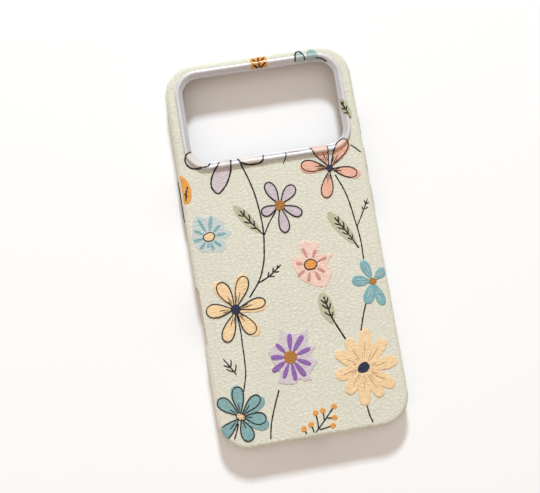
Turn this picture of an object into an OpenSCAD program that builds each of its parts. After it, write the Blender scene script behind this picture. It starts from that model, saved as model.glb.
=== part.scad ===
// Phone case with a leather-covered back, a soft frame, a plated camera ring and four side buttons.
// It lies with its front lip on z = 0 and its covered back up. X is its width, and +Y points to the
// camera end. Millimetres.

/* [Phone that it fits] */
// Width of the phone
phone_w = 78; // [74:0.1:80]
// Length of the phone
phone_l = 163.4; // [160:0.1:168]
// Thickness of the phone's body
phone_t = 8.75; // [8:0.05:10]
// Corner radius of the phone, seen from the back
phone_r = 11.2; // [9:0.1:13]
// Gap between the phone and the case, all round
fit_gap = 0.15; // [0.05:0.05:0.3]

/* [Walls] */
// Thickness of the soft frame's side wall
frame_wall = 1.35; // [1.2:0.05:2]
// Thickness of the leather cover
skin_t = 0.6; // [0.4:0.05:0.8]
// Thickness of the rigid back plate
plate_t = 1.2; // [1:0.1:1.6]
// Thickness of the inner lining
lining_t = 0.4; // [0.3:0.05:0.6]
// Thickness of the lip in front of the screen
lip_t = 1; // [0.8:0.1:1.4]
// How far the lip reaches over the screen's edge
lip_reach = 1.1; // [0.8:0.1:1.6]
// Height of the frame's bare foot below the leather
foot_h = 1.6; // [1.2:0.1:2]
// Radius of the rounded edge between the back and the sides
back_edge_r = 2.2; // [1.6:0.1:2.6]

/* [Camera ring] */
// Width of the camera window
window_w = 67.2; // [60:0.1:69]
// Length of the camera window
window_l = 38; // [34:0.1:40]
// Corner radius of the camera window
window_r = 7.4; // [5:0.1:9]
// Distance from the case's centre to the window's centre
window_y = 58.5; // [57:0.1:59]
// Width of the ring around the window
ring_w = 3.2; // [2.8:0.1:3.4]
// Height of the ring's crest above the leather
ring_h = 1.85; // [1.5:0.05:2.5]

/* [Buttons] */
// Length of the power button on the left wall
power_l = 18.3; // [14:0.1:20]
// Distance of the power button from the case's middle
power_y = 25.5; // [20:0.5:30]
// Length of the action button on the right wall
action_l = 9; // [8:0.1:10]
// Distance of the action button from the case's middle
action_y = 47; // [45:0.5:50]
// Length of each volume button on the right wall
volume_l = 13; // [10:0.1:14]
// Distance of the volume-up button from the case's middle
volume_up_y = 31; // [30:0.5:32]
// Distance of the volume-down button from the case's middle
volume_down_y = 14.5; // [12:0.5:15]
// Width of every button, across the wall
button_w = 3.4; // [3:0.1:3.6]
// How far a button stands out of the leather
button_out = 0.75; // [0.4:0.05:1]

/* [Cut-outs] */
// Middle of the camera-control recess on the left wall
control_y = -26; // [-30:0.5:-20]
// Length of the camera-control recess
control_l = 28; // [24:0.5:32]
// Depth of the camera-control recess
control_d = 1.2; // [0.8:0.05:1.2]
// Length of the slot inside the recess
control_slot_l = 23; // [18:0.5:23]
// Width of the slot inside the recess, across the wall
control_slot_w = 6.2; // [5:0.1:6.4]
// Length of the charging-port slot
port_l = 13.6; // [12:0.1:15]
// Width of the charging-port slot
port_w = 6.2; // [5:0.1:6.4]
// Length of each sound slot beside the charging port
sound_l = 12; // [8:0.5:14]
// Width of each sound slot
sound_w = 2.4; // [1.6:0.1:3]
// Distance of a sound slot's middle from the charging port's middle
sound_x = 18.5; // [17:0.5:19]

/* [Hidden] */
$fn = 64;
pocket_hw = phone_w / 2 + fit_gap;
pocket_hl = phone_l / 2 + fit_gap;
pocket_r = phone_r + fit_gap;
window_hw = window_w / 2;
window_hl = window_l / 2;
// Heights, from the front lip up
lining_z = lip_t + phone_t + 0.1;
plate_z = lining_z + lining_t;
skin_z = plate_z + plate_t;
back_z = skin_z + skin_t;
crest_z = back_z + ring_h;
button_z = lip_t + phone_t / 2;
// Distances outwards from the pocket's wall
skin_out = frame_wall + skin_t;
edge_d = skin_out - back_edge_r;
edge_z = back_z - back_edge_r;
// Each sheet's rim is a band with true corners, and the sheet's middle ends inside that band
rim_w = 0.8;
rim_lap = 0.5;
// The plate's tongue sits in the frame's groove
tongue_d = 0.45;
tongue_z = plate_z + 0.35;
tongue_t = 0.5;
// The ring's collar goes through the plate, and tape holds its flange down
collar_w = 0.8;
tape_t = 0.15;
tape_in = 1.2;
tape_out = 3;
lining_back = 0.2;
// Button stack, as distances outwards from the pocket's wall
pad_d = 0.22;
flange_d = 0.4;
cap_d = 0.7;
shoulder_d = 0.75;
rim_d = skin_out - 0.05;
cap_chamfer = 0.3;
flange_grow = 0.8;
flange_gap = 0.2;
gasket_w = 0.35;
cap_gap = 0.1;
pad_l_share = 0.45;
pad_w_share = 0.5;
// The recess ends in slopes, and its slot stays inside them
slope_l = 3;
slope_steps = 8;
lip_round = 0.4;
foot_round = 1;
cut = 2;

// Points of an arc of radius r about (x, y), from angle a to angle b
function arc_points(x, y, r, a, b, steps = 6) =
    [for (i = [0:steps]) let (t = a + (b - a) * i / steps) [x + r * cos(t), y + r * sin(t)]];

// Outline of a rounded rectangle of half sizes hw and hl, grown by g
function outline(hw, hl, r, g) = [
    for (q = [0:3])
        let (sx = (q == 0 || q == 3) ? 1 : -1, sy = q < 2 ? 1 : -1)
            each arc_points(sx * (hw - r), sy * (hl - r), r + g, 90 * q, 90 * (q + 1), 4)
];

// Outline of a slot with round ends, l long and w wide, grown by g
function slot_points(l, w, g = 0) = concat(
    arc_points((l - w) / 2, 0, w / 2 + g, -90, 90, 12),
    arc_points((w - l) / 2, 0, w / 2 + g, 90, 270, 12)
);

// Carries a profile round a rounded rectangle of half sizes hw and hl. The profile's x is the distance
// outwards from that outline, and its y is the height.
module around(hw, hl, r) {
    for (turn = [0, 180]) rotate([0, 0, turn]) {
        straight(hw, 2 * (hl - r)) children();
        rotate([0, 0, 90]) straight(hl, 2 * (hw - r)) children();
        for (side = [0, 1]) translate([(1 - 2 * side) * (hw - r), hl - r, 0])
            rotate([0, 0, 90 * side]) rotate_extrude(angle = 90) translate([r, 0]) children();
    }
}

// Straight run of a profile, l long, at x = d
module straight(d, l) {
    translate([d, l / 2, 0]) rotate([90, 0, 0]) linear_extrude(l) children();
}

module around_pocket() around(pocket_hw, pocket_hl, pocket_r) children();

module around_window() translate([0, window_y, 0]) around(window_hw, window_hl, window_r) children();

// Middle of a sheet between two heights: it ends inside the rim bands at d and at e round the window
module sheet(z, t, d, e) {
    translate([0, 0, z]) linear_extrude(t) difference() {
        polygon(outline(pocket_hw, pocket_hl, pocket_r, d - rim_lap));
        translate([0, window_y]) polygon(outline(window_hw, window_hl, window_r, e + rim_lap));
    }
}

// Band of a sheet round the window
module window_rim(z, t, e) around_window() translate([e, z]) square([rim_w, t]);

// Places a shape on a side wall: its x runs along the wall, its y up, its z outwards from the pocket
module on_side(side, y) {
    translate([side * pocket_hw, y, button_z]) rotate([90, 0, side * 90]) children();
}

// Places a shape on the bottom wall in the same way
module on_bottom(x) translate([x, -pocket_hl, button_z]) rotate([90, 0, 0]) children();

// Slot-shaped block from distance a to distance b
module block(l, w, g, a, b) translate([0, 0, a]) linear_extrude(b - a) polygon(slot_points(l, w, g));

// Recess for the camera control, cut through the whole height of the left wall. Its ends follow a
// half cosine from the wall's face to the full depth.
module control_recess() {
    face = pocket_hw + skin_out;
    half = control_l / 2;
    ends = [for (i = [0:slope_steps]) let (u = i / slope_steps)
        [face - control_d * (1 - cos(180 * u)) / 2, half - slope_l * u]];
    far_ends = [for (i = [slope_steps:-1:0]) [ends[i][0], -ends[i][1]]];
    translate([0, control_y, -cut]) mirror([1, 0, 0]) linear_extrude(crest_z + 2 * cut)
        polygon(concat([[face + cut, half]], ends, far_ends, [[face + cut, -half]]));
}

// Slots through the walls for the camera control, the charging plug and the sound
module wall_slots() {
    on_side(-1, control_y) block(control_slot_l, control_slot_w, 0, -cut, skin_out + cut);
    on_bottom(0) block(port_l, port_w, 0, -cut, skin_out + cut);
    for (side = [-1, 1]) on_bottom(side * sound_x) block(sound_l, sound_w, 0, -cut, skin_out + cut);
}

// Runs its child at each button's place, with $l as the button's length
module at_buttons() {
    for (b = [[-1, power_y, power_l], [1, action_y, action_l],
              [1, volume_up_y, volume_l], [1, volume_down_y, volume_l]])
        on_side(b[0], b[1]) let ($l = b[2]) children();
}

// Soft frame: side walls, front lip, foot below the leather, and the groove that holds the plate
module bumper_frame() {
    color("burlywood") difference() {
        around_pocket() polygon(concat(
            [[-lip_reach, lip_t]],
            arc_points(lip_round - lip_reach, lip_round, lip_round, 180, 270, 3),
            arc_points(skin_out - foot_round, foot_round, foot_round, 270, 360, 5),
            [[skin_out, foot_h], [frame_wall, foot_h]],
            arc_points(edge_d, edge_z, back_edge_r - skin_t, 0, 90),
            [[edge_d, tongue_z + tongue_t], [tongue_d, tongue_z + tongue_t], [tongue_d, tongue_z],
             [edge_d, tongue_z], [edge_d, plate_z], [0, plate_z], [0, lip_t]]
        ));
        control_recess();
        wall_slots();
        at_buttons() {
            block($l, button_w, flange_grow + flange_gap, -cut, shoulder_d);
            block($l, button_w, cap_gap + gasket_w, 0, skin_out + cut);
        }
    }
}

// Rigid back plate with a tongue all round and the camera window
module back_plate() {
    color("whitesmoke") {
        sheet(plate_z, plate_t, edge_d, collar_w);
        around_pocket() polygon([
            [edge_d - rim_w, plate_z], [edge_d, plate_z], [edge_d, tongue_z], [tongue_d, tongue_z],
            [tongue_d, tongue_z + tongue_t], [edge_d, tongue_z + tongue_t], [edge_d, skin_z],
            [edge_d - rim_w, skin_z]
        ]);
        window_rim(plate_z, plate_t, collar_w);
    }
}

// Leather cover over the back, the rounded edge and the side walls
module leather_cover() {
    color("beige") difference() {
        union() {
            sheet(skin_z, skin_t, edge_d, ring_w);
            around_pocket() polygon(concat(
                [[edge_d - rim_w, skin_z]],
                arc_points(edge_d, edge_z, back_edge_r - skin_t, 90, 0),
                [[frame_wall, foot_h], [skin_out, foot_h]],
                arc_points(edge_d, edge_z, back_edge_r, 0, 90),
                [[edge_d - rim_w, back_z]]
            ));
            window_rim(skin_z, skin_t, ring_w);
        }
        control_recess();
        wall_slots();
        at_buttons() block($l, button_w, cap_gap + gasket_w, 0, skin_out + cut);
    }
}

// Soft lining between the plate and the phone
module microfibre_lining() {
    color("silver") {
        sheet(lining_z, lining_t, 0, lining_back);
        around_pocket() translate([-rim_w, lining_z]) square([rim_w, lining_t]);
        window_rim(lining_z, lining_t, lining_back);
    }
}

// Plated ring: collar through the plate, flat flange, rounded outer shoulder, crest and inner slope
module camera_ring() {
    flange_z = skin_z + tape_t;
    outer_r = 0.7;
    crest_r = 0.45;
    slope_end = [0.25, back_z + 0.45];
    color("gainsboro") around_window() polygon(concat(
        [[0, plate_z], [collar_w, plate_z], [collar_w, flange_z], [ring_w, flange_z]],
        arc_points(ring_w - outer_r, crest_z - outer_r, outer_r, 0, 90, 4),
        arc_points(ring_w - outer_r - crest_r, crest_z - crest_r, crest_r, 90, 135, 2),
        [slope_end, [0, slope_end[1] - 0.35]]
    ));
}

// Die-cut tape under the ring's flange
module ring_tape() {
    color("dimgray") around_window() translate([tape_in, skin_z]) square([tape_out - tape_in, tape_t]);
}

// Metal button cap with a chamfered face
module cap(l) {
    top_d = skin_out + button_out;
    color("slategray") hull() {
        block(l, button_w, 0, cap_d, top_d - cap_chamfer);
        block(l, button_w, -cap_chamfer, cap_d, top_d);
    }
}

// Soft plunger behind a cap: a flange that keeps it in the frame, and a pad for the phone's key
module plunger(l) {
    color("tan") {
        block(l, button_w, flange_grow, flange_d, cap_d);
        block(l * pad_l_share, button_w * pad_w_share, 0, pad_d, flange_d);
    }
}

// Soft ring that lines the window round a cap
module gasket(l) {
    color("gray") difference() {
        block(l, button_w, cap_gap + gasket_w, shoulder_d, rim_d);
        block(l, button_w, cap_gap, 0, skin_out + cut);
    }
}

module power_cap() on_side(-1, power_y) cap(power_l);
module power_plunger() on_side(-1, power_y) plunger(power_l);
module power_gasket() on_side(-1, power_y) gasket(power_l);
module action_cap() on_side(1, action_y) cap(action_l);
module action_plunger() on_side(1, action_y) plunger(action_l);
module action_gasket() on_side(1, action_y) gasket(action_l);
module volume_up_cap() on_side(1, volume_up_y) cap(volume_l);
module volume_up_plunger() on_side(1, volume_up_y) plunger(volume_l);
module volume_up_gasket() on_side(1, volume_up_y) gasket(volume_l);
module volume_down_cap() on_side(1, volume_down_y) cap(volume_l);
module volume_down_plunger() on_side(1, volume_down_y) plunger(volume_l);
module volume_down_gasket() on_side(1, volume_down_y) gasket(volume_l);

bumper_frame();
back_plate();
leather_cover();
microfibre_lining();
camera_ring();
ring_tape();
power_cap();
power_plunger();
power_gasket();
action_cap();
action_plunger();
action_gasket();
volume_up_cap();
volume_up_plunger();
volume_up_gasket();
volume_down_cap();
volume_down_plunger();
volume_down_gasket();
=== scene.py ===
"""Visual model of a phone case with a printed leather cover, a soft frame and a plated camera ring.

Every shape is worked out in millimetres in the case's own frame: +X across, +Y towards the camera end and +Z
out of the leather back. It becomes metres when its mesh is made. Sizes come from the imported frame.
"""
import logging
import math
from dataclasses import dataclass
from enum import Enum
from typing import Callable, Iterator, Optional, Sequence

import bpy
import numpy as np
from mathutils import Matrix, Vector
from mathutils.geometry import delaunay_2d_cdt


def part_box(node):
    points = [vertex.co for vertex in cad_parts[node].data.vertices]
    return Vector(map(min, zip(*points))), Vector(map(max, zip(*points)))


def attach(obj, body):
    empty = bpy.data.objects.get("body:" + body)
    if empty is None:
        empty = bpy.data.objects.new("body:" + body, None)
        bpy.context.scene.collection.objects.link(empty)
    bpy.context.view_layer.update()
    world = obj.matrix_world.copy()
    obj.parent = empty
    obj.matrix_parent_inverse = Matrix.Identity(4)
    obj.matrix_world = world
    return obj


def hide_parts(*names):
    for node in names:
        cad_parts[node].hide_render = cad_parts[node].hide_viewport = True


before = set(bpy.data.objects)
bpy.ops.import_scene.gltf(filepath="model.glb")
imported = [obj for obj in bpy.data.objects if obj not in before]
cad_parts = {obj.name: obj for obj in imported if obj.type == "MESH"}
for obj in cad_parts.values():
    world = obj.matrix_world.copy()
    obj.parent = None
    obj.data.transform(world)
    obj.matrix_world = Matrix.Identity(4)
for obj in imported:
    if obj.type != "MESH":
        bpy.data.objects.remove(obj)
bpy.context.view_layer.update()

LOG = logging.getLogger("phone_case")
Array = np.ndarray
Socket = bpy.types.NodeSocket
Piece = bpy.types.Object
MM = 0.001
CASE = "case"
SHEET = "sheet"
# Pebble shape at each point. The leather and ink materials use it to paint shade into the creases.
CREASE_SHADE = "crease"
WASH = "wash"
GLOSS = "gloss"
QUARTER = math.pi / 2
TINY = 1e-9
BUTTONS = ("power", "action", "volume_up", "volume_down")
HASH_X, HASH_Y, HASH_SEED, HASH_SCALE = 127.1, 311.7, 74.7, 43758.5453
BORDER_SHARE, ZONE_SHARE = 0.6, 0.25


# ---------------- sizes


@dataclass(frozen=True)
class NodeBox:
    """Lowest and highest corner of a CAD node, in millimetres."""

    low: Array
    high: Array

    @classmethod
    def of(cls, node: str) -> "NodeBox":
        """Reads the box of one CAD node."""
        low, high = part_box(node)
        return cls(np.array(low) / MM, np.array(high) / MM)

    @property
    def middle(self) -> Array:
        """Centre of the box."""
        return (self.low + self.high) / 2

    @property
    def half(self) -> Array:
        """Half sizes of the box."""
        return (self.high - self.low) / 2

    @property
    def side(self) -> float:
        """1 on the right of the case and -1 on its left."""
        return math.copysign(1.0, self.middle[0])

    @property
    def reach(self) -> list[float]:
        """Nearest and farthest distance from the case's middle plane."""
        return sorted(abs(v) for v in (self.low[0], self.high[0]))


@dataclass(frozen=True)
class Build:
    """Thicknesses and radii that the node boxes don't tell, in millimetres."""

    corner_r: float = 13.3
    edge_r: float = 2.2
    cover_t: float = 0.6
    frame_wall: float = 1.35
    lip_t: float = 1.0
    lip_reach: float = 1.1
    ring_w: float = 3.2
    window_r: float = 7.4
    collar_w: float = 0.8
    tape_t: float = 0.15
    recess_y: float = -26.0
    recess_l: float = 28.0
    recess_d: float = 1.2
    recess_slope: float = 3.0
    recess_slot: tuple[float, float] = (23.0, 6.2)
    port_slot: tuple[float, float] = (13.6, 6.2)
    sound_slot: tuple[float, float] = (12.0, 2.4)
    sound_x: float = 18.5
    ring_sink: float = 0.1
    print_room: float = 0.2

    @property
    def bottom_slots(self) -> tuple[tuple[float, tuple[float, float]], ...]:
        """Place across and size of each slot in the bottom wall."""
        return (0.0, self.port_slot), (-self.sound_x, self.sound_slot), (self.sound_x, self.sound_slot)


BUILD = Build()


# ---------------- plane outlines


@dataclass(frozen=True)
class RoundedRect:
    """Rounded rectangle in a plane. With a radius of half its width it is a slot with round ends."""

    half_w: float
    half_l: float
    radius: float
    x: float = 0.0
    y: float = 0.0

    def grown(self, by: float) -> "RoundedRect":
        """The outline moved outwards by a distance, with its corner centres kept."""
        return RoundedRect(self.half_w + by, self.half_l + by, self.radius + by, self.x, self.y)

    def _corner_frame(self, q: Array) -> tuple[Array, Array]:
        """Point's place past the corner centres, and the sign of its quadrant."""
        offset = q - (self.x, self.y)
        past = np.abs(offset) - (self.half_w - self.radius, self.half_l - self.radius)
        return past, np.where(offset < 0, -1.0, 1.0)

    def distance(self, q: Array) -> Array:
        """Signed distance to the outline, negative inside.

        Past both corner centres it is the distance to the nearer centre less the radius. Elsewhere it is the
        larger of the two distances past the sides.

        Args:
            q: points, one row each.

        Returns:
            One distance a point.
        """
        past, _ = self._corner_frame(q)
        outer = np.linalg.norm(np.maximum(past, 0.0), axis=1)
        return outer + np.minimum(past.max(axis=1), 0.0) - self.radius

    def outward(self, q: Array) -> Array:
        """Unit direction away from the outline at each point.

        Args:
            q: points, one row each.

        Returns:
            One direction a point: radial at a corner, square to the nearer side elsewhere.
        """
        past, sign = self._corner_frame(q)
        ahead = np.maximum(past, 0.0)
        side = np.stack([past[:, 0] >= past[:, 1], past[:, 0] < past[:, 1]], axis=1).astype(float)
        at_corner = (past > 0).all(axis=1, keepdims=True)
        direction = np.where(at_corner, ahead, side)
        return sign * direction / np.maximum(np.linalg.norm(direction, axis=1, keepdims=True), TINY)

    def walk(self, spacing: float) -> tuple[Array, Array]:
        """Points once round the outline, anticlockwise, with their outward directions.

        Each corner is an arc from angle 90k to 90(k + 1) degrees, and each side is a straight row.

        Args:
            spacing: distance between points.

        Returns:
            The points and the directions.
        """
        points, normals = [], []
        reach = np.array([self.half_w - self.radius, self.half_l - self.radius])
        arc_steps = max(4, math.ceil(QUARTER * self.radius / spacing))
        for k in range(4):
            angle = QUARTER * (k + np.arange(arc_steps + 1) / arc_steps)
            normal = np.stack([np.cos(angle), np.sin(angle)], axis=1)
            sign = np.array([1 if k in (0, 3) else -1, 1 if k < 2 else -1])
            points.append((self.x, self.y) + sign * reach + self.radius * normal)
            normals.append(normal)
            side = 2 * reach[k % 2]
            steps = max(1, math.ceil(side / spacing))
            along = np.stack([-np.sin(angle[-1:]), np.cos(angle[-1:])], axis=1)
            row = np.arange(1, steps)[:, None] * side / steps
            points.append(points[-1][-1] + row * along)
            normals.append(np.repeat(normal[-1:], len(row), axis=0))
        points, normals = np.concatenate(points), np.concatenate(normals)
        step = np.linalg.norm(points - np.roll(points, 1, axis=0), axis=1)
        return points[step > 1e-6], normals[step > 1e-6]


def slot_outline(x: float, y: float, length: float, width: float, upright: bool) -> RoundedRect:
    """Slot with round ends.

    Args:
        x: middle across.
        y: middle along.
        length: end to end.
        width: side to side.
        upright: True if its length runs along y.

    Returns:
        The outline.
    """
    half = (width / 2, length / 2) if upright else (length / 2, width / 2)
    return RoundedRect(half[0], half[1], width / 2 - 1e-6, x, y)


def face_outline(box: NodeBox, extra: float = 0.0) -> RoundedRect:
    """Slot outline of a side part seen from its wall, with some extra length and width."""
    return slot_outline(0, 0, 2 * box.half[1] + extra, 2 * box.half[2] + extra, False)


# ---------------- noise fields


def smoothstep(x: Array) -> Array:
    """Goes from 0 to 1 along 3x^2 - 2x^3, and stays flat outside."""
    t = np.clip(x, 0.0, 1.0)
    return t * t * (3 - 2 * t)


def lattice(cell: Array, seed: float) -> Array:
    """Repeatable number from 0 to 1 for each cell: the fraction of a large sine of its indices."""
    value = np.sin(cell[..., 0] * HASH_X + cell[..., 1] * HASH_Y + seed * HASH_SEED) * HASH_SCALE
    return value - np.floor(value)


def value_noise(q: Array, size: float, seed: float) -> Array:
    """Smooth noise from 0 to 1: lattice numbers blended across each cell.

    Args:
        q: points, one row each.
        size: width of a cell.
        seed: picks the pattern.

    Returns:
        One number a point.
    """
    scaled = q / size
    cell = np.floor(scaled)
    u, v = smoothstep(scaled - cell).T
    corner = [lattice(cell + (i, j), seed) for j in (0, 1) for i in (0, 1)]
    low = corner[0] * (1 - u) + corner[1] * u
    high = corner[2] * (1 - u) + corner[3] * u
    return low * (1 - v) + high * v


@dataclass(frozen=True)
class Grain:
    """Pebbled relief of the leather: jittered cells, wider across than along, with creases between."""

    cell: tuple[float, float] = (2.5, 1.1)
    depth: float = 0.18
    swell: float = 0.06
    crease: float = 0.62
    warp: float = 1.0
    seed: float = 3.0
    swell_cell: float = 5.5
    warp_cell: float = 3.1
    jitter: tuple[float, float] = (0.1, 0.8)
    dome: float = 0.35

    def height(self, q: Array) -> Array:
        """Relief below the smooth surface, from -(depth + swell) to 0: pebbles on a slow swell."""
        swell = value_noise(q, self.swell_cell, self.seed + 7)
        return -self.depth * (1 - self.pebble(q)) - self.swell * (1 - swell)

    def pebble(self, q: Array) -> Array:
        """Shape of the pebbles.

        A point's two nearest cell centres give the gap between their distances. The gap is 0 in a crease and
        grows on a pebble, so its smooth step is the pebble's shape.

        Args:
            q: points on the flat leather, one row each.

        Returns:
            From 0 in a crease to 1 on a pebble.
        """
        shift = np.stack([value_noise(q, self.warp_cell, self.seed + k) - 0.5 for k in (1, 2)], axis=1)
        scaled = (q + 2 * self.warp * shift) / self.cell
        home = np.floor(scaled)
        distances = []
        for i in (-1, 0, 1):
            for j in (-1, 0, 1):
                cell = home + (i, j)
                chance = np.stack([lattice(cell, self.seed + k) for k in (4, 5)], axis=1)
                centre = cell + self.jitter[0] + self.jitter[1] * chance
                distances.append(np.linalg.norm(scaled - centre, axis=1))
        near = np.sort(np.stack(distances), axis=0)[:2]
        return smoothstep((near[1] - near[0]) / self.crease) * (1 - self.dome * np.minimum(near[0], 1) ** 2)


# ---------------- surfaces


@dataclass(frozen=True)
class CoverSurface:
    """Outside of the leather, as a flat sheet bent over the case's edge.

    The sheet lies flat inside the crease outline. Beyond it the distance d from the crease is bent over a
    quarter round of radius r, and then runs straight down the wall.
    """

    crease: RoundedRect
    radius: float
    back_z: float
    grain: Grain
    bend_limit: float = 0.97

    def place(self, q: Array, lift: Array | float) -> Array:
        """Points of the sheet in space, moved outwards by lift.

        With b = min(d / r, pi / 2), a point lies r sin b outwards from the crease and r (1 - cos b) below the
        back, less the straight run d - r pi / 2. Its normal leans outwards by b.

        Args:
            q: points on the flat sheet.
            lift: distance outwards along the normal.

        Returns:
            Points in space, one row each.
        """
        run = np.maximum(self.crease.distance(q), 0.0)
        out = self.crease.outward(q)
        bend = np.minimum(run / self.radius, QUARTER)
        straight = np.maximum(run - self.radius * QUARTER, 0.0)
        arm = np.broadcast_to(self.radius + lift, run.shape)
        flat = q - out * run[:, None] + out * arm[:, None] * np.sin(bend)[:, None]
        z = self.back_z - self.radius + arm * np.cos(bend) - straight
        return np.column_stack([flat, z])

    def sheet_of(self, plan: Array) -> Array:
        """Sheet points under points of the plan view: an offset s past the crease is r asin(s / r)."""
        past = self.crease.distance(plan)
        out = self.crease.outward(plan)
        run = self.radius * np.arcsin(np.clip(past / self.radius, 0.0, self.bend_limit))
        return np.where((past > 0)[:, None], plan + out * (run - past)[:, None], plan)


@dataclass(frozen=True)
class RingSurface:
    """Top of the camera ring: a rounded outer shoulder, a narrow crest and a hollow slope to the window."""

    window: RoundedRect
    width: float
    foot_z: float
    crest_z: float
    shoulder: float = 0.85
    crest_in: float = 1.95
    sill: float = 0.3
    sill_drop: float = 1.35
    shoulder_power: float = 2.3
    slope_power: float = 1.35

    def height(self, e: Array) -> Array:
        """Height at a distance e outwards from the window.

        The shoulder is a quarter of a superellipse. The slope falls by a power of the way in, and the sill
        turns down by a quarter circle.

        Args:
            e: distances outwards from the window's edge.

        Returns:
            One height each.
        """
        rise = self.crest_z - self.foot_z
        s = np.clip((e - (self.width - self.shoulder)) / self.shoulder, 0.0, 1.0)
        z = self.foot_z + rise * (1 - s**self.shoulder_power) ** (1 / self.shoulder_power)
        t = np.clip((self.crest_in - e) / (self.crest_in - self.sill), 0.0, 1.0)
        z = z - self.sill_drop * t**self.slope_power
        w = np.clip((self.sill - e) / self.sill, 0.0, 1.0)
        return z - self.sill * (1 - np.sqrt(np.maximum(1 - w**2, 0.0)))


@dataclass(frozen=True)
class BackView:
    """What ink lies on, seen in plan: the leather, or the ring where it covers the leather."""

    cover: CoverSurface
    ring: RingSurface
    gap: float = 0.12
    margin: float = 1.35
    limit_trim: float = 0.1
    gap_trim: float = 0.05
    foot_out: float = 0.1
    foot_blend: float = 0.4
    probe: float = 0.02
    steepest: float = 4.0

    def keep_on(self, plan: Array) -> Array:
        """Moves points in the window to just outside it, and points past the print's limit back to it."""
        push = np.maximum(self.gap - self.ring.window.distance(plan), 0.0)[:, None]
        plan = plan + self.ring.window.outward(plan) * push
        limit = self.cover.crease.grown(self.margin)
        return plan - limit.outward(plan) * np.maximum(limit.distance(plan), 0.0)[:, None]

    def on_case(self, plan: Array) -> Array:
        """True for points that neither the window nor the print's limit cuts off."""
        inside = self.cover.crease.distance(plan) < self.margin - self.limit_trim
        return inside & (self.ring.window.distance(plan) > self.gap + self.gap_trim)

    def over_ring(self, plan: Array) -> Array:
        """1 on the ring and 0 on the leather, blended over the ring's foot."""
        reach = self.ring.width + self.foot_out - self.ring.window.distance(plan)
        return smoothstep(reach / self.foot_blend)

    def drape(self, plan: Array, lift: Array) -> tuple[Array, Array]:
        """Points on the surface under a plan view, raised along the surface's normal.

        Args:
            plan: points in plan, one row each.
            lift: height above the surface.

        Returns:
            The points in space, and the same points on the flat leather sheet.
        """
        sheet = self.cover.sheet_of(plan)
        on_leather = self.cover.place(sheet, lift + self.cover.grain.height(sheet))
        e = self.ring.window.distance(plan)
        step = self.probe
        slope = (self.ring.height(e + step) - self.ring.height(e - step)) / (2 * step)
        slope = np.clip(slope, -self.steepest, self.steepest)
        out = self.ring.window.outward(plan)
        length = np.sqrt(1 + slope**2)
        flat = plan - out * (slope * lift / length)[:, None]
        on_ring = np.column_stack([flat, self.ring.height(e) + lift / length])
        return np.where((e < self.ring.width)[:, None], on_ring, on_leather), sheet


# ---------------- meshes


@dataclass
class Shape:
    """Vertices in millimetres, faces in groups of equal corner count, and places on the flat leather."""

    points: Array
    faces: list[Array]
    sheet: Optional[Array] = None
    marks: Optional[list[Array]] = None
    tones: Optional[dict[str, Array]] = None

    def joined(self, other: "Shape") -> "Shape":
        """Both shapes as one."""
        faces = self.faces + [f + len(self.points) for f in other.faces]
        sheet = None
        if self.sheet is not None and other.sheet is not None:
            sheet = np.concatenate([self.sheet, other.sheet])
        return Shape(np.concatenate([self.points, other.points]), faces, sheet)


def gathered(shapes: Sequence[Shape]) -> Shape:
    """Several shapes with places and tones as one."""
    starts = np.cumsum([0] + [len(shape.points) for shape in shapes])
    faces = [f + start for shape, start in zip(shapes, starts) for f in shape.faces]
    tones = {key: np.concatenate([shape.tones[key] for shape in shapes]) for key in shapes[0].tones}
    return Shape(np.concatenate([shape.points for shape in shapes]), faces,
                 np.concatenate([shape.sheet for shape in shapes]), None, tones)


def grid_faces(rows: int, columns: int, wrap_rows: bool, wrap_columns: bool) -> Array:
    """Quads of a grid whose point (i, j) is number i * columns + j.

    Args:
        rows: number of rows.
        columns: number of columns.
        wrap_rows: True if the last row joins the first.
        wrap_columns: True if the last column joins the first.

    Returns:
        One row of four corners for each quad.
    """
    i = np.arange(rows if wrap_rows else rows - 1)[:, None]
    j = np.arange(columns if wrap_columns else columns - 1)[None, :]
    i2, j2 = (i + 1) % rows, (j + 1) % columns
    corners = [i * columns + j, i * columns + j2, i2 * columns + j2, i2 * columns + j]
    shape = np.broadcast_shapes(i.shape, j.shape)
    return np.stack([np.broadcast_to(c, shape).ravel() for c in corners], axis=1)


def open_edges(faces: Sequence[Array]) -> Array:
    """Directed edges that only one face uses."""
    pairs = np.concatenate([np.stack([f, np.roll(f, -1, axis=1)], axis=2).reshape(-1, 2) for f in faces])
    size = int(pairs.max()) + 1
    forward, backward = pairs[:, 0] * size + pairs[:, 1], pairs[:, 1] * size + pairs[:, 0]
    return pairs[~np.isin(forward, backward)]


def slab(top: Array, faces: list[Array], bottom: Array, bottom_faces: Optional[list[Array]] = None) -> Shape:
    """Closed slab between two surfaces whose border points have the same numbers.

    Args:
        top: points of the upper surface.
        faces: its faces, anticlockwise from above.
        bottom: points of the lower surface.
        bottom_faces: its faces, or None if they are the upper ones.

    Returns:
        The slab: the top, the turned-over bottom and a wall of quads along the border.
    """
    under = [f[:, ::-1] + len(top) for f in (bottom_faces or faces)]
    edges = open_edges(faces)
    wall = np.stack([edges[:, 1], edges[:, 0], edges[:, 0] + len(top), edges[:, 1] + len(top)], axis=1)
    return Shape(np.concatenate([top, bottom]), [*faces, *under, wall])


Zone = tuple[float, Callable[[Array], Array]]


def staggered(low: Array, high: Array, pitch: float) -> Array:
    """Points in staggered rows over a box, a pitch apart."""
    rows = np.arange(low[1], high[1], pitch * math.sqrt(3) / 2)
    columns = np.arange(low[0], high[0] + pitch, pitch)
    x = columns[None, :] + (np.arange(len(rows)) % 2)[:, None] * pitch / 2
    return np.stack([x, np.broadcast_to(rows[:, None], x.shape)], axis=2).reshape(-1, 2)


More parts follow.
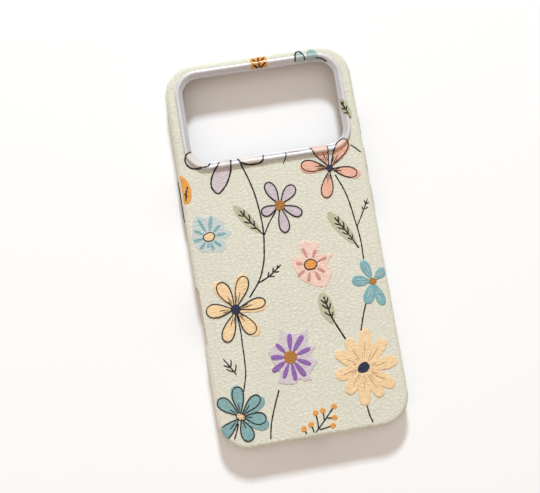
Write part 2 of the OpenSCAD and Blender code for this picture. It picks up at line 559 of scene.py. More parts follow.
def triangulate(loops: Sequence[Array], room: Callable[[Array], Array],
                zones: Sequence[Zone]) -> tuple[Array, Array]:
    """Fills the area between loops with even triangles.

    Args:
        loops: closed borders. Their points come first, in order.
        room: distance of each point from the border, positive in the area.
        zones: each is a distance between points, and a test that is positive where it is used.

    Returns:
        The points and the triangles.
    """
    border = np.concatenate(loops)
    low, high = border.min(axis=0), border.max(axis=0)
    points = [border]
    for pitch, where in zones:
        grid = staggered(low, high, pitch)
        points.append(grid[(room(grid) > BORDER_SHARE * pitch) & (where(grid) > ZONE_SHARE * pitch)])
    points = np.concatenate(points)
    edges, start = [], 0
    for loop in loops:
        ids = start + np.arange(len(loop))
        edges += np.stack([ids, np.roll(ids, -1)], axis=1).tolist()
        start += len(loop)
    found = delaunay_2d_cdt([Vector(p) for p in points.tolist()], edges, [], 0, 1e-7, True)
    source = np.array([ids[0] for ids in found[3]])
    triangles = source[np.array(found[2])]
    inside = room(points[triangles].mean(axis=1)) > 0
    return points, triangles[inside]


def make_object(name: str, shape: Shape, finishes: Sequence["Finish"],
                crease_deg: float = 50.0) -> Piece:
    """Puts a shape into a mesh object at the origin.

    Args:
        name: the piece's name.
        shape: its points and faces. Its marks give each face group's material number.
        finishes: its materials.
        crease_deg: edges sharper than this stay sharp.

    Returns:
        The object, linked to the scene.
    """
    mesh = bpy.data.meshes.new(name)
    counts = np.concatenate([np.full(len(f), f.shape[1]) for f in shape.faces])
    corners = np.concatenate([f.ravel() for f in shape.faces]).astype(np.int32)
    mesh.vertices.add(len(shape.points))
    mesh.vertices.foreach_set("co", (shape.points * MM).astype(np.float32).ravel())
    mesh.loops.add(len(corners))
    mesh.loops.foreach_set("vertex_index", corners)
    mesh.polygons.add(len(counts))
    starts = np.concatenate([[0], np.cumsum(counts)[:-1]]).astype(np.int32)
    mesh.polygons.foreach_set("loop_start", starts)
    mesh.update(calc_edges=True)
    if shape.sheet is not None:
        layer = mesh.attributes.new(SHEET, "FLOAT_VECTOR", "POINT")
        flat = np.column_stack([shape.sheet, np.zeros(len(shape.sheet))])
        layer.data.foreach_set("vector", flat.astype(np.float32).ravel())
    for key, values in (shape.tones or {}).items():
        mesh.attributes.new(key, "FLOAT", "POINT").data.foreach_set("value", values.astype(np.float32))
    for finish in finishes:
        mesh.materials.append(finish.material())
    if shape.marks is not None:
        mesh.polygons.foreach_set("material_index", np.concatenate(shape.marks).astype(np.int32))
    mesh.validate()
    mesh.polygons.foreach_set("use_smooth", np.ones(len(mesh.polygons), bool))
    mesh.set_sharp_from_angle(angle=math.radians(crease_deg))
    obj = bpy.data.objects.new(name, mesh)
    bpy.context.scene.collection.objects.link(obj)
    return obj


def sweep(outline: RoundedRect, profile: Array, spacing: float) -> Shape:
    """Carries a closed profile round an outline.

    A profile point (d, z) lies d outwards from the outline at height z.

    Args:
        outline: the path.
        profile: its points, clockwise when d points right and z up.
        spacing: distance between sections.

    Returns:
        A closed band.
    """
    path, normal = outline.walk(spacing)
    flat = path[:, None, :] + normal[:, None, :] * profile[None, :, :1]
    z = np.broadcast_to(profile[None, :, 1:], (*flat.shape[:2], 1))
    points = np.concatenate([flat, z], axis=2).reshape(-1, 3)
    return Shape(points, [grid_faces(len(path), len(profile), True, True)])


def arc(x: float, y: float, radius: float, start: float, end: float, steps: int) -> Array:
    """Points of an arc about (x, y), between two angles in degrees."""
    angle = np.radians(np.linspace(start, end, steps + 1))
    return np.stack([x + radius * np.cos(angle), y + radius * np.sin(angle)], axis=1)


# ---------------- finishes


class Nodes:
    """Short way to write a material's nodes."""

    def __init__(self, name: str) -> None:
        """Starts an empty material with a surface shader.

        Args:
            name: the material's name.
        """
        self.material = bpy.data.materials.new(name)
        self.material.use_nodes = True
        self.tree = self.material.node_tree
        self.tree.nodes.clear()
        self.shader = self.add("ShaderNodeBsdfPrincipled")
        output = self.add("ShaderNodeOutputMaterial")
        self.link(self.shader.outputs["BSDF"], output.inputs["Surface"])

    def add(self, kind: str, **values: object) -> bpy.types.Node:
        """Adds a node and sets its inputs by name, with _ for a space, or its own settings."""
        node = self.tree.nodes.new(kind)
        for key, value in values.items():
            name = key.replace("_", " ")
            if hasattr(node, key):
                setattr(node, key, value)
            else:
                self.feed(node.inputs[name], value)
        return node

    def feed(self, target: Socket, value: object) -> None:
        """Links a socket to another, or gives it a value."""
        if isinstance(value, Socket):
            self.link(value, target)
        else:
            target.default_value = value

    def link(self, source: Socket, target: Socket) -> None:
        """Joins two sockets."""
        self.tree.links.new(source, target)

    def set(self, **values: object) -> None:
        """Sets the shader's own sockets, with _ for a space."""
        for key, value in values.items():
            self.feed(self.shader.inputs[key.replace("_", " ")], value)

    def place(self) -> Socket:
        """Object coordinates, in metres."""
        return self.add("ShaderNodeTexCoord").outputs["Object"]

    def sheet(self) -> Socket:
        """Place on the flat leather, in millimetres."""
        return self.add("ShaderNodeAttribute", attribute_name=SHEET).outputs["Vector"]

    def stretched(self, vector: Socket, scale: tuple[float, float, float]) -> Socket:
        """A vector with its axes scaled."""
        node = self.add("ShaderNodeMapping", Vector=vector)
        node.inputs["Scale"].default_value = scale
        return node.outputs["Vector"]

    def noise(self, vector: Socket, scale: float, detail: float = 2.0,
              roughness: float = 0.5) -> Socket:
        """Cloudy noise around 0.5."""
        node = self.add("ShaderNodeTexNoise", Vector=vector, Scale=scale, Detail=detail, Roughness=roughness)
        return node.outputs["Fac"]

    def cells(self, vector: Socket, scale: float, feature: str = "DISTANCE_TO_EDGE") -> Socket:
        """Distance inside random cells."""
        node = self.add("ShaderNodeTexVoronoi", feature=feature, Vector=vector, Scale=scale)
        return node.outputs["Distance"]

    def spread(self, value: Socket, low: float, high: float, to_low: float = 0.0,
               to_high: float = 1.0) -> Socket:
        """Maps a range of a value to another range, clamped."""
        node = self.add("ShaderNodeMapRange", Value=value)
        for key, number in zip(("From Min", "From Max", "To Min", "To Max"), (low, high, to_low, to_high)):
            node.inputs[key].default_value = number
        return node.outputs["Result"]

    def blend(self, share: Socket, first: object, second: object) -> Socket:
        """Mixes two colours, each given as a socket or as red, green and blue."""
        node = self.add("ShaderNodeMix", data_type="RGBA")
        self.link(share, node.inputs[0])
        for index, colour in ((6, first), (7, second)):
            self.feed(node.inputs[index], colour if isinstance(colour, Socket) else (*colour, 1.0))
        return node.outputs[2]

    def sum(self, first: Socket, second: Socket, share: float) -> Socket:
        """first + share x second."""
        node = self.add("ShaderNodeMath", operation="MULTIPLY_ADD")
        self.link(second, node.inputs[0])
        node.inputs[1].default_value = share
        self.link(first, node.inputs[2])
        return node.outputs[0]

    def tone(self, key: str) -> Socket:
        """One of the mesh's own tones, from 0 to 1."""
        return self.add("ShaderNodeAttribute", attribute_name=key).outputs["Fac"]

    def bump(self, height: Socket, depth_mm: float, strength: float = 1.0,
             share: Optional[Socket] = None) -> None:
        """Gives the shader a bump. A height of 1 is depth_mm, and a share may drive the strength."""
        node = self.add("ShaderNodeBump", Height=height, Strength=strength, Distance=depth_mm * MM)
        if share is not None:
            self.link(share, node.inputs["Strength"])
        self.link(node.outputs["Normal"], self.shader.inputs["Normal"])


def linear(red: int, green: int, blue: int) -> tuple[float, float, float]:
    """Linear colour of a display colour given from 0 to 255."""
    def one(c: float) -> float:
        """The display curve turned back for one channel."""
        return c / 12.92 if c <= 0.04045 else ((c + 0.055) / 1.055) ** 2.4
    return one(red / 255), one(green / 255), one(blue / 255)


Colour = tuple[float, float, float]


@dataclass(frozen=True)
class Finish:
    """A surface finish. Each kind builds its own material once."""

    name: str
    colour: Colour

    @property
    def look(self) -> str:
        """Its material's name, kept apart from the frame's own materials."""
        return "look_" + self.name

    def material(self) -> bpy.types.Material:
        """The finish's material, made on first use."""
        if self.look not in bpy.data.materials:
            self.dress(Nodes(self.look))
        return bpy.data.materials[self.look]

    def dress(self, nodes: Nodes) -> None:
        """Adds the nodes."""
        raise NotImplementedError

    def shaded(self, factor: float) -> Colour:
        """The colour made darker or lighter."""
        return tuple(min(1.0, c * factor) for c in self.colour)

    def mottled(self, nodes: Nodes, noise: Socket, dark: float, light: float, half: float = 0.15) -> Socket:
        """The colour between two shades of itself, by where the noise lies within a half range of 0.5."""
        share = nodes.spread(noise, 0.5 - half, 0.5 + half)
        return nodes.blend(share, self.shaded(dark), self.shaded(light))


def leather_relief(nodes: Nodes) -> Socket:
    """Fine relief that leather and ink share: small wrinkles on the pebbles, and pores."""
    flat = nodes.sheet()
    bent = nodes.add("ShaderNodeVectorMath", operation="MULTIPLY_ADD")
    swirl = nodes.add("ShaderNodeTexNoise", Vector=flat, Scale=0.9, Detail=2.0)
    nodes.link(swirl.outputs["Color"], bent.inputs[0])
    bent.inputs[1].default_value = (1.1, 1.1, 0.0)
    nodes.link(flat, bent.inputs[2])
    wrinkles = nodes.cells(nodes.stretched(bent.outputs[0], (0.5, 1.1, 1.0)), 1.3)
    fine = nodes.noise(nodes.stretched(flat, (0.6, 1.3, 1.0)), 2.6, 3.0, 0.6)
    ridges = nodes.spread(wrinkles, 0.0, 0.26)
    return nodes.sum(ridges, fine, 0.9)


@dataclass(frozen=True)
class Leather(Finish):
    """Matte pebbled leather with painted shade in its creases and wrinkles, and slow patches of tone."""

    roughness: float = 0.62

    def dress(self, nodes: Nodes) -> None:
        """Adds the nodes."""
        flat = nodes.sheet()
        relief = leather_relief(nodes)
        patches = nodes.noise(flat, 0.045, 3.0)
        tone = self.mottled(nodes, patches, 0.965, 1.02)
        # Painted shade: darker colour down in the fine wrinkles of the relief.
        fine = nodes.blend(nodes.spread(relief, 0.2, 1.1), self.shaded(0.88), tone)
        # Painted shade: darker colour in the creases between the pebbles.
        crease_shaded = nodes.blend(nodes.spread(nodes.tone(CREASE_SHADE), 0.0, 0.5), self.shaded(0.87), fine)
        nodes.set(Base_Color=crease_shaded, Specular_IOR_Level=0.35, Sheen_Weight=0.08, Sheen_Roughness=0.5)
        nodes.set(Roughness=nodes.spread(relief, 0.2, 1.5, self.roughness + 0.1, self.roughness - 0.06))
        nodes.bump(relief, 0.04, 0.9)


@dataclass(frozen=True)
class InkCoat(Finish):
    """Matte ink on leather: the leather's relief shows through, painted shade darkens the ink in the creases,
    and the tone is a little uneven.
    """

    mottle: float = 0.07
    roughness: float = 0.58

    def dress(self, nodes: Nodes) -> None:
        """Adds the nodes."""
        flat = nodes.sheet()
        brush = nodes.noise(nodes.stretched(flat, (1.0, 0.45, 1.0)), 0.55, 4.0, 0.6)
        worn = nodes.noise(flat, 2.4, 3.0, 0.65)
        tone = self.mottled(nodes, brush, 1 - self.mottle, 1 + self.mottle)
        tone = nodes.blend(nodes.spread(worn, 0.60, 0.75, 0.0, 0.25), tone, self.shaded(1.12))
        # Painted shade: the ink darker in the leather's creases.
        tone = nodes.blend(nodes.spread(nodes.tone(CREASE_SHADE), 0.0, 0.6, 0.12, 0.0), tone, self.shaded(0.6))
        tone = nodes.blend(nodes.tone(WASH), tone, WASHED)
        on_ring = nodes.tone(GLOSS)
        rough = nodes.spread(worn, 0.3, 0.7, self.roughness - 0.07, self.roughness + 0.09)
        nodes.set(Base_Color=tone, Specular_IOR_Level=0.35, Roughness=nodes.sum(rough, on_ring, -0.3))
        nodes.set(Coat_Weight=nodes.spread(on_ring, 0.0, 1.0, 0.0, 0.5))
        nodes.bump(leather_relief(nodes), 0.05, 0.8, nodes.spread(on_ring, 0.0, 0.6, 1.0, 0.1))


@dataclass(frozen=True)
class Plating(Finish):
    """Bright satin plating over a moulded part, with a faint haze and a fine texture."""

    roughness: float = 0.2
    metallic: float = 1.0
    coat: float = 0.3

    def dress(self, nodes: Nodes) -> None:
        """Adds the nodes."""
        place = nodes.place()
        haze = nodes.noise(place, 160.0, 3.0)
        tone = self.mottled(nodes, haze, 0.97, 1.02)
        fine = nodes.noise(place, 2400.0, 2.0, 0.6)
        nodes.set(Base_Color=tone, Metallic=self.metallic, Coat_Weight=self.coat, Coat_Roughness=0.2)
        nodes.set(Roughness=nodes.spread(haze, 0.3, 0.7, self.roughness - 0.04, self.roughness + 0.05))
        nodes.bump(fine, 0.002, 0.2)


@dataclass(frozen=True)
class Elastomer(Finish):
    """Soft moulded rubber: satin, a little translucent, with a fine spark-eroded texture."""

    roughness: float = 0.5

    def dress(self, nodes: Nodes) -> None:
        """Adds the nodes."""
        place = nodes.place()
        cloud = nodes.noise(place, 90.0, 3.0)
        tone = self.mottled(nodes, cloud, 0.95, 1.04)
        fine = nodes.noise(place, 3200.0, 3.0, 0.6)
        nodes.set(Base_Color=tone, Specular_IOR_Level=0.45, Subsurface_Weight=0.12, Subsurface_Scale=0.0015)
        nodes.set(Roughness=nodes.spread(fine, 0.3, 0.7, self.roughness - 0.05, self.roughness + 0.08))
        nodes.bump(fine, 0.012, 0.5)


@dataclass(frozen=True)
class Moulded(Finish):
    """Rigid moulded plastic with a fine even texture."""

    roughness: float = 0.42

    def dress(self, nodes: Nodes) -> None:
        """Adds the nodes."""
        place = nodes.place()
        cloud = nodes.noise(place, 60.0, 2.0)
        tone = self.mottled(nodes, cloud, 0.97, 1.02, 0.2)
        fine = nodes.cells(place, 2600.0, "F1")
        nodes.set(Base_Color=tone)
        nodes.set(Roughness=nodes.spread(cloud, 0.3, 0.7, self.roughness - 0.05, self.roughness + 0.05))
        nodes.bump(fine, 0.01, 0.5)


@dataclass(frozen=True)
class Suede(Finish):
    """Short brushed microfibre: soft sheen, streaks of nap and a dense fibre grain."""

    def dress(self, nodes: Nodes) -> None:
        """Adds the nodes."""
        place = nodes.place()
        nap = nodes.noise(nodes.stretched(place, (1.0, 0.35, 1.0)), 70.0, 4.0, 0.6)
        fibre = nodes.noise(nodes.stretched(place, (1.0, 0.55, 1.0)), 2600.0, 3.0, 0.7)
        tone = self.mottled(nodes, nap, 0.86, 1.08)
        tone = nodes.blend(nodes.spread(fibre, 0.3, 0.7), tone, self.shaded(1.15))
        nodes.set(Base_Color=tone, Roughness=0.95, Specular_IOR_Level=0.15, Sheen_Weight=0.6,
                  Sheen_Roughness=0.4)
        nodes.bump(nodes.sum(fibre, nap, 0.6), 0.05, 0.8)


@dataclass(frozen=True)
class Backdrop(Finish):
    """Plain pale paper."""

    def dress(self, nodes: Nodes) -> None:
        """Adds the nodes."""
        nodes.set(Base_Color=(*self.colour, 1.0), Roughness=0.9, Specular_IOR_Level=0.1)


WASHED = linear(228, 224, 218)
LEATHER = Leather("leather_cream", linear(225, 225, 210))
RING_PLATING = Plating("ring_pearl", linear(216, 217, 224), 0.36, 0.3, 0.15)
FRAME_RUBBER = Elastomer("frame_rubber", linear(205, 186, 156))
PLUNGER_RUBBER = Elastomer("plunger_rubber", linear(190, 172, 146))
GASKET_RUBBER = Elastomer("gasket_rubber", linear(186, 182, 176), 0.4)
LINING_SUEDE = Suede("lining_suede", linear(176, 171, 164))
PLATE_PLASTIC = Moulded("plate_plastic", linear(222, 221, 217))
TAPE_FOAM = Moulded("tape_foam", linear(60, 60, 62), 0.8)
BUTTON_FACE = Plating("button_face", linear(26, 26, 29), 0.34, 0.1, 0.05)
# The cap rim's light colour is a painted reflection of bright surroundings; its gloss reflects as well.
BUTTON_RIM_REFLECTION = Plating("button_rim_reflection", linear(205, 204, 206), 0.2)
FLOOR_PAPER = Backdrop("floor_paper", linear(248, 250, 253))


class Ink(Enum):
    """The print's inks. Each value names its finish."""

    CREAM = "ink_cream_yellow"
    LILAC = "ink_lilac"
    PURPLE = "ink_purple"
    TEAL = "ink_teal"
    SKY = "ink_sky"
    PEACH = "ink_peach"
    BLUSH = "ink_blush"
    ROSE = "ink_rose"
    ORANGE = "ink_orange"
    RUSSET = "ink_russet"
    NAVY = "ink_navy"
    SAGE = "ink_sage"
    LINE = "ink_line"

    @property
    def finish(self) -> InkCoat:
        """The ink's finish."""
        return InkCoat(self.value, INK_COLOURS[self])

    @property
    def ring_fade(self) -> float:
        """Share of a fill that is lost where it lies on the plated ring."""
        return {Ink.LILAC: 0.45, Ink.PEACH: 0.45, Ink.TEAL: 0.15}.get(self, 0.0)


INK_COLOURS: dict[Ink, Colour] = {
    Ink.CREAM: linear(240, 210, 166),
    Ink.LILAC: linear(204, 192, 200),
    Ink.PURPLE: linear(144, 102, 174),
    Ink.TEAL: linear(132, 172, 174),
    Ink.SKY: linear(128, 176, 184),
    Ink.PEACH: linear(232, 180, 158),
    Ink.BLUSH: linear(238, 208, 196),
    Ink.ROSE: linear(206, 150, 142),
    Ink.ORANGE: linear(230, 160, 76),
    Ink.RUSSET: linear(178, 120, 54),
    Ink.NAVY: linear(38, 44, 74),
    Ink.SAGE: linear(184, 184, 152),
    Ink.LINE: linear(24, 24, 28),
}


# ---------------- artwork


@dataclass(frozen=True)
class Patch:
    """Filled area of ink. Thin ink lets what is under it show, and raised ink stands higher."""

    ink: Ink
    level: int
    outline: Array
    thin: float = 0.0
    raised: float = 0.0


@dataclass(frozen=True)
class Stroke:
    """Line of ink along a path, with round or pointed ends."""

    ink: Ink
    level: int
    path: Array
    width: float
    closed: bool = False
    taper: float = 0.0
    thin: float = 0.0
    raised: float = 0.0


Mark = Patch | Stroke
Spot = tuple[float, float]


def polar(centre: Spot, angle_deg: float | Array, radius: float | Array) -> Array:
    """Points at angles and distances from a centre."""
    angle = np.radians(angle_deg)
    return np.stack([centre[0] + radius * np.cos(angle), centre[1] + radius * np.sin(angle)], axis=-1)


def turned(centre: Spot, local: Array, angle_deg: float) -> Array:
    """Local points turned by an angle and moved to a centre."""
    c, s = math.cos(math.radians(angle_deg)), math.sin(math.radians(angle_deg))
    return np.array(centre) + local @ np.array([[c, s], [-s, c]])


def curve_through(points: Sequence[Spot], spacing: float = 0.5, closed: bool = False) -> Array:
    """Smooth path through points, at an even spacing.

    Each span is a cubic whose slope at a point is half the difference of that point's neighbours.

    Args:
        points: the points it passes through.
        spacing: distance between the path's own points.
        closed: True if the last point joins the first.

    Returns:
        The path.
    """
    p = np.array(points, float)
    if closed:
        padded = np.concatenate([p[-1:], p, p[:2]])
    else:
        padded = np.concatenate([2 * p[:1] - p[1:2], p, 2 * p[-1:] - p[-2:-1]])
    spans = []
    for a, b, c, d in zip(padded, padded[1:], padded[2:], padded[3:]):
        steps = max(2, math.ceil(float(np.linalg.norm(c - b)) / spacing))
        t = (np.arange(steps) / steps)[:, None]
        spans.append(0.5 * (2 * b + (c - a) * t + (2 * a - 5 * b + 4 * c - d) * t**2
                            + (3 * b - a - 3 * c + d) * t**3))
    return np.concatenate(spans if closed else [*spans, p[-1:]])


def petal_outline(root: Spot, angle_deg: float, length: float, width: float, blunt: float = 0.7,
                  power: float = 1.0, count: int = 56) -> Array:
    """Closed petal from its root to its tip.

    At angle t the point lies s = (1 - cos t) / 2 of the length along the petal and |sin t|^power s^blunt
    across it, scaled so that the widest place has the stated width. The width wavers by a few hundredths.

    Args:
        root: where it starts.
        angle_deg: its direction.
        length: root to tip.
        width: at its widest.
        blunt: 0 is an ellipse, and more is wider near the tip.
        power: under 1 has straighter sides, and over 1 has pointed ends.
        count: points in the outline.

    Returns:
        The outline, anticlockwise.
    """
    t = np.linspace(0, 2 * np.pi, count, endpoint=False)
    along = (1 - np.cos(t)) / 2
    across = -np.sign(np.sin(t)) * np.abs(np.sin(t)) ** power * along**blunt
    across *= width / 2 / np.abs(across).max()
    wobble = 1 + 0.03 * np.sin(2 * t + root[0] + angle_deg) + 0.02 * np.sin(3 * t + angle_deg)
    return turned(root, np.stack([length * along, across * wobble], axis=1), angle_deg)


def resampled(outline: Array, spacing: float) -> Array:
    """The closed outline with points at even spacing."""
    ring = np.concatenate([outline, outline[:1]])
    run = np.concatenate([[0.0], np.cumsum(np.linalg.norm(np.diff(ring, axis=0), axis=1))])
    at = np.linspace(0, run[-1], max(16, math.ceil(run[-1] / spacing)), endpoint=False)
    return np.stack([np.interp(at, run, ring[:, k]) for k in (0, 1)], axis=1)


def ragged_outline(centre: Spot, lobes: Sequence[Spot], seed: float) -> Array:
    """Torn-looking closed patch: a smooth outline through its corners, rippled by two sines of the angle.

    Args:
        centre: its middle.
        lobes: its corners, each an angle in degrees and a distance from the centre.
        seed: picks the ripple.

    Returns:
        The outline.
    """
    corners = [tuple(polar(centre, angle, reach)) for angle, reach in lobes]
    outline = curve_through(corners, 0.45, closed=True)
    out = outline - centre
    angle = np.arctan2(out[:, 1], out[:, 0])
    ripple = 1 + 0.012 * np.sin(23 * angle + seed) + 0.010 * np.sin(37 * angle + 2 * seed)
    return centre + out * ripple[:, None]


def dot_outline(centre: Spot, across: float, along: float, tilt_deg: float = 0.0) -> Array:
    """Hand-drawn ellipse: its radius wavers by a few hundredths."""
    t = np.linspace(0, 2 * np.pi, 36, endpoint=False)
    r = 1 + 0.03 * np.sin(3 * t + centre[0]) + 0.02 * np.sin(5 * t + centre[1])
    return turned(centre, np.stack([across * r * np.cos(t), along * r * np.sin(t)], axis=1), tilt_deg)


@dataclass(frozen=True)
class Hub:
    """Flower's middle: an ellipse of ink, with or without a drawn rim."""

    ink: Ink
    across: float
    along: float
    tilt_deg: float = 0.0
    rim: float = 0.0

    def marks(self, centre: Spot, raised: float = 0.0) -> Iterator[Mark]:
        """The ellipse and its rim."""
        outline = dot_outline(centre, self.across, self.along, self.tilt_deg)
        yield Patch(self.ink, 5, outline, raised=raised)
        if self.rim > 0:
            yield Stroke(Ink.LINE, 6, outline, self.rim, closed=True, raised=raised)


@dataclass(frozen=True)
class Petal:
    """One petal: its direction, its length and width, and how far its fill has slipped from its outline."""

    angle: float
    length: float
    width: float
    slip: Spot = (0.0, 0.0)


@dataclass(frozen=True)
class Vein:
    """Short line in each petal: its turn from the petal's middle, and the shares where it starts and ends."""

    turn: float
    start: float
    end: float


TWO_VEINS = (Vein(-1.0, 0.20, 0.50), Vein(9.0, 0.22, 0.38))
ONE_VEIN = (Vein(2.0, 0.20, 0.46),)
LONG_VEIN = (Vein(-1.0, 0.22, 0.66), Vein(8.0, 0.24, 0.40))


@dataclass(frozen=True)
class Bloom:
    """Flower of separate petals, drawn as fills with or without outlines."""

    centre: Spot
    ink: Ink
    petals: tuple[Petal, ...]
    hub: Optional[Hub] = None
    line: float = 0.5
    veins: tuple[Vein, ...] = TWO_VEINS
    vein_ink: Ink = Ink.LINE
    vein_w: float = 0.34
    vein_thin: float = 0.0
    root: float = 0.8
    blunt: float = 0.7
    power: float = 1.0
    raised: float = 0.12

    def marks(self) -> Iterator[Mark]:
        """Fills, outlines, veins and the middle."""
        for number, petal in enumerate(self.petals):
            root = tuple(polar(self.centre, petal.angle, self.root))
            length = petal.length - self.root
            outline = petal_outline(root, petal.angle, length, petal.width, self.blunt, self.power)
            slipped = (root[0] + petal.slip[0], root[1] + petal.slip[1])
            grow = 0.15 + 0.12 * math.hypot(*petal.slip)
            fill = petal_outline(slipped, petal.angle, length + grow, petal.width + grow, self.blunt,
                                 self.power)
            yield Patch(self.ink, 1 + number % 2, fill, raised=self.raised)
            if petal.slip != (0.0, 0.0):
                yield Patch(self.ink, 0, outline, raised=self.raised)
            if self.line > 0:
                yield Stroke(Ink.LINE, 4, outline, self.line, closed=True, raised=self.raised)
            for vein in self.veins:
                shares = np.linspace(vein.start, vein.end + 0.04 * (number % 3), 4)
                turn = petal.angle + vein.turn + (1.2 * shares - shares.mean()) * 8
                path = curve_through([tuple(s) for s in polar(self.centre, turn, petal.length * shares)], 0.4)
                yield Stroke(self.vein_ink, 4, path, self.vein_w, taper=0.8, thin=self.vein_thin,
                             raised=self.raised)
        if self.hub:
            yield from self.hub.marks(self.centre, self.raised)


@dataclass(frozen=True)
class Burst:
    """Flower of thick brush strokes over a pale torn patch."""

    centre: Spot
    patch_ink: Ink
    patch_thin: float
    lobes: tuple[Spot, ...]
    ray_ink: Ink
    rays: tuple[Spot, ...]
    ray_w: float
    hub: Hub
    start: float
    raised: float = 0.16
    ray_blunt: float = 0.22
    ray_power: float = 0.62
    ray_points: int = 40

    def marks(self) -> Iterator[Mark]:
        """The patch, the strokes and the middle. Each ray is an angle and a length."""
        torn = ragged_outline(self.centre, self.lobes, self.centre[0])
        yield Patch(self.patch_ink, 0, torn, self.patch_thin, self.raised)
        for number, (angle, length) in enumerate(self.rays):
            root = tuple(polar(self.centre, angle + 2.0 * math.sin(2.3 * number), self.start))
            width = self.ray_w * (1 + 0.12 * math.sin(1.9 * number))
            ray = petal_outline(root, angle, length - self.start, width, self.ray_blunt, self.ray_power,
                                self.ray_points)
            yield Patch(self.ray_ink, 3, ray, raised=self.raised)
        yield from self.hub.marks(self.centre, self.raised)


@dataclass(frozen=True)
class Sprig:
    """Drawn stem with side twigs. Each twig is a share of the stem, a turn in degrees and a length."""

    spine: tuple[Spot, ...]
    twigs: tuple[tuple[float, float, float], ...] = ()
    line: float = 0.5
    taper: float = 0.0

    def marks(self) -> Iterator[Mark]:
        """The stem and the twigs, which bow a little towards the tip."""
        path = curve_through(self.spine)
        yield Stroke(Ink.LINE, 2, path, self.line, taper=self.taper)
        for share, turn, length in self.twigs:
            index = min(round(share * (len(path) - 1)), len(path) - 2)
            heading = math.degrees(math.atan2(*(path[index + 1] - path[index])[::-1]))
            foot = tuple(path[index])
            spots = [foot, tuple(polar(foot, heading + turn * 1.08, length / 2)),
                     tuple(polar(foot, heading + turn * 0.94, length))]
            yield Stroke(Ink.LINE, 3, curve_through(spots, 0.4), self.line * 0.95, taper=0.5)


@dataclass(frozen=True)
class Leaf:
    """Pointed patch of pale ink behind a sprig."""

    base: Spot
    tip: Spot
    width: float
    sprig: Sprig
    thin: float = 0.1
    blunt: float = 0.1
    power: float = 1.25

    def marks(self) -> Iterator[Mark]:
        """The patch and the sprig."""
        reach = np.array(self.tip) - self.base
        angle = math.degrees(math.atan2(reach[1], reach[0]))
        length = float(np.hypot(*reach))
        outline = petal_outline(self.base, angle, length, self.width, self.blunt, self.power)
        yield Patch(Ink.SAGE, 0, outline, self.thin)
        yield from self.sprig.marks()


@dataclass(frozen=True)
class Berries:
    """Round berries, each with a straight twig that runs from under it to a foot."""

    twigs: tuple[tuple[Spot, Spot], ...]
    radius: float = 1.15

    def marks(self) -> Iterator[Mark]:
        """The twigs and the berries."""
        for number, (foot, berry) in enumerate(self.twigs):
            middle = ((foot[0] + berry[0]) / 2 + 0.15, (foot[1] + berry[1]) / 2)
            yield Stroke(Ink.LINE, 1, curve_through([foot, middle, berry]), 0.5, taper=0.2)
            yield Patch(Ink.ORANGE, 2, dot_outline(berry, self.radius, self.radius * 1.15, number * 25.0),
                        raised=0.08)


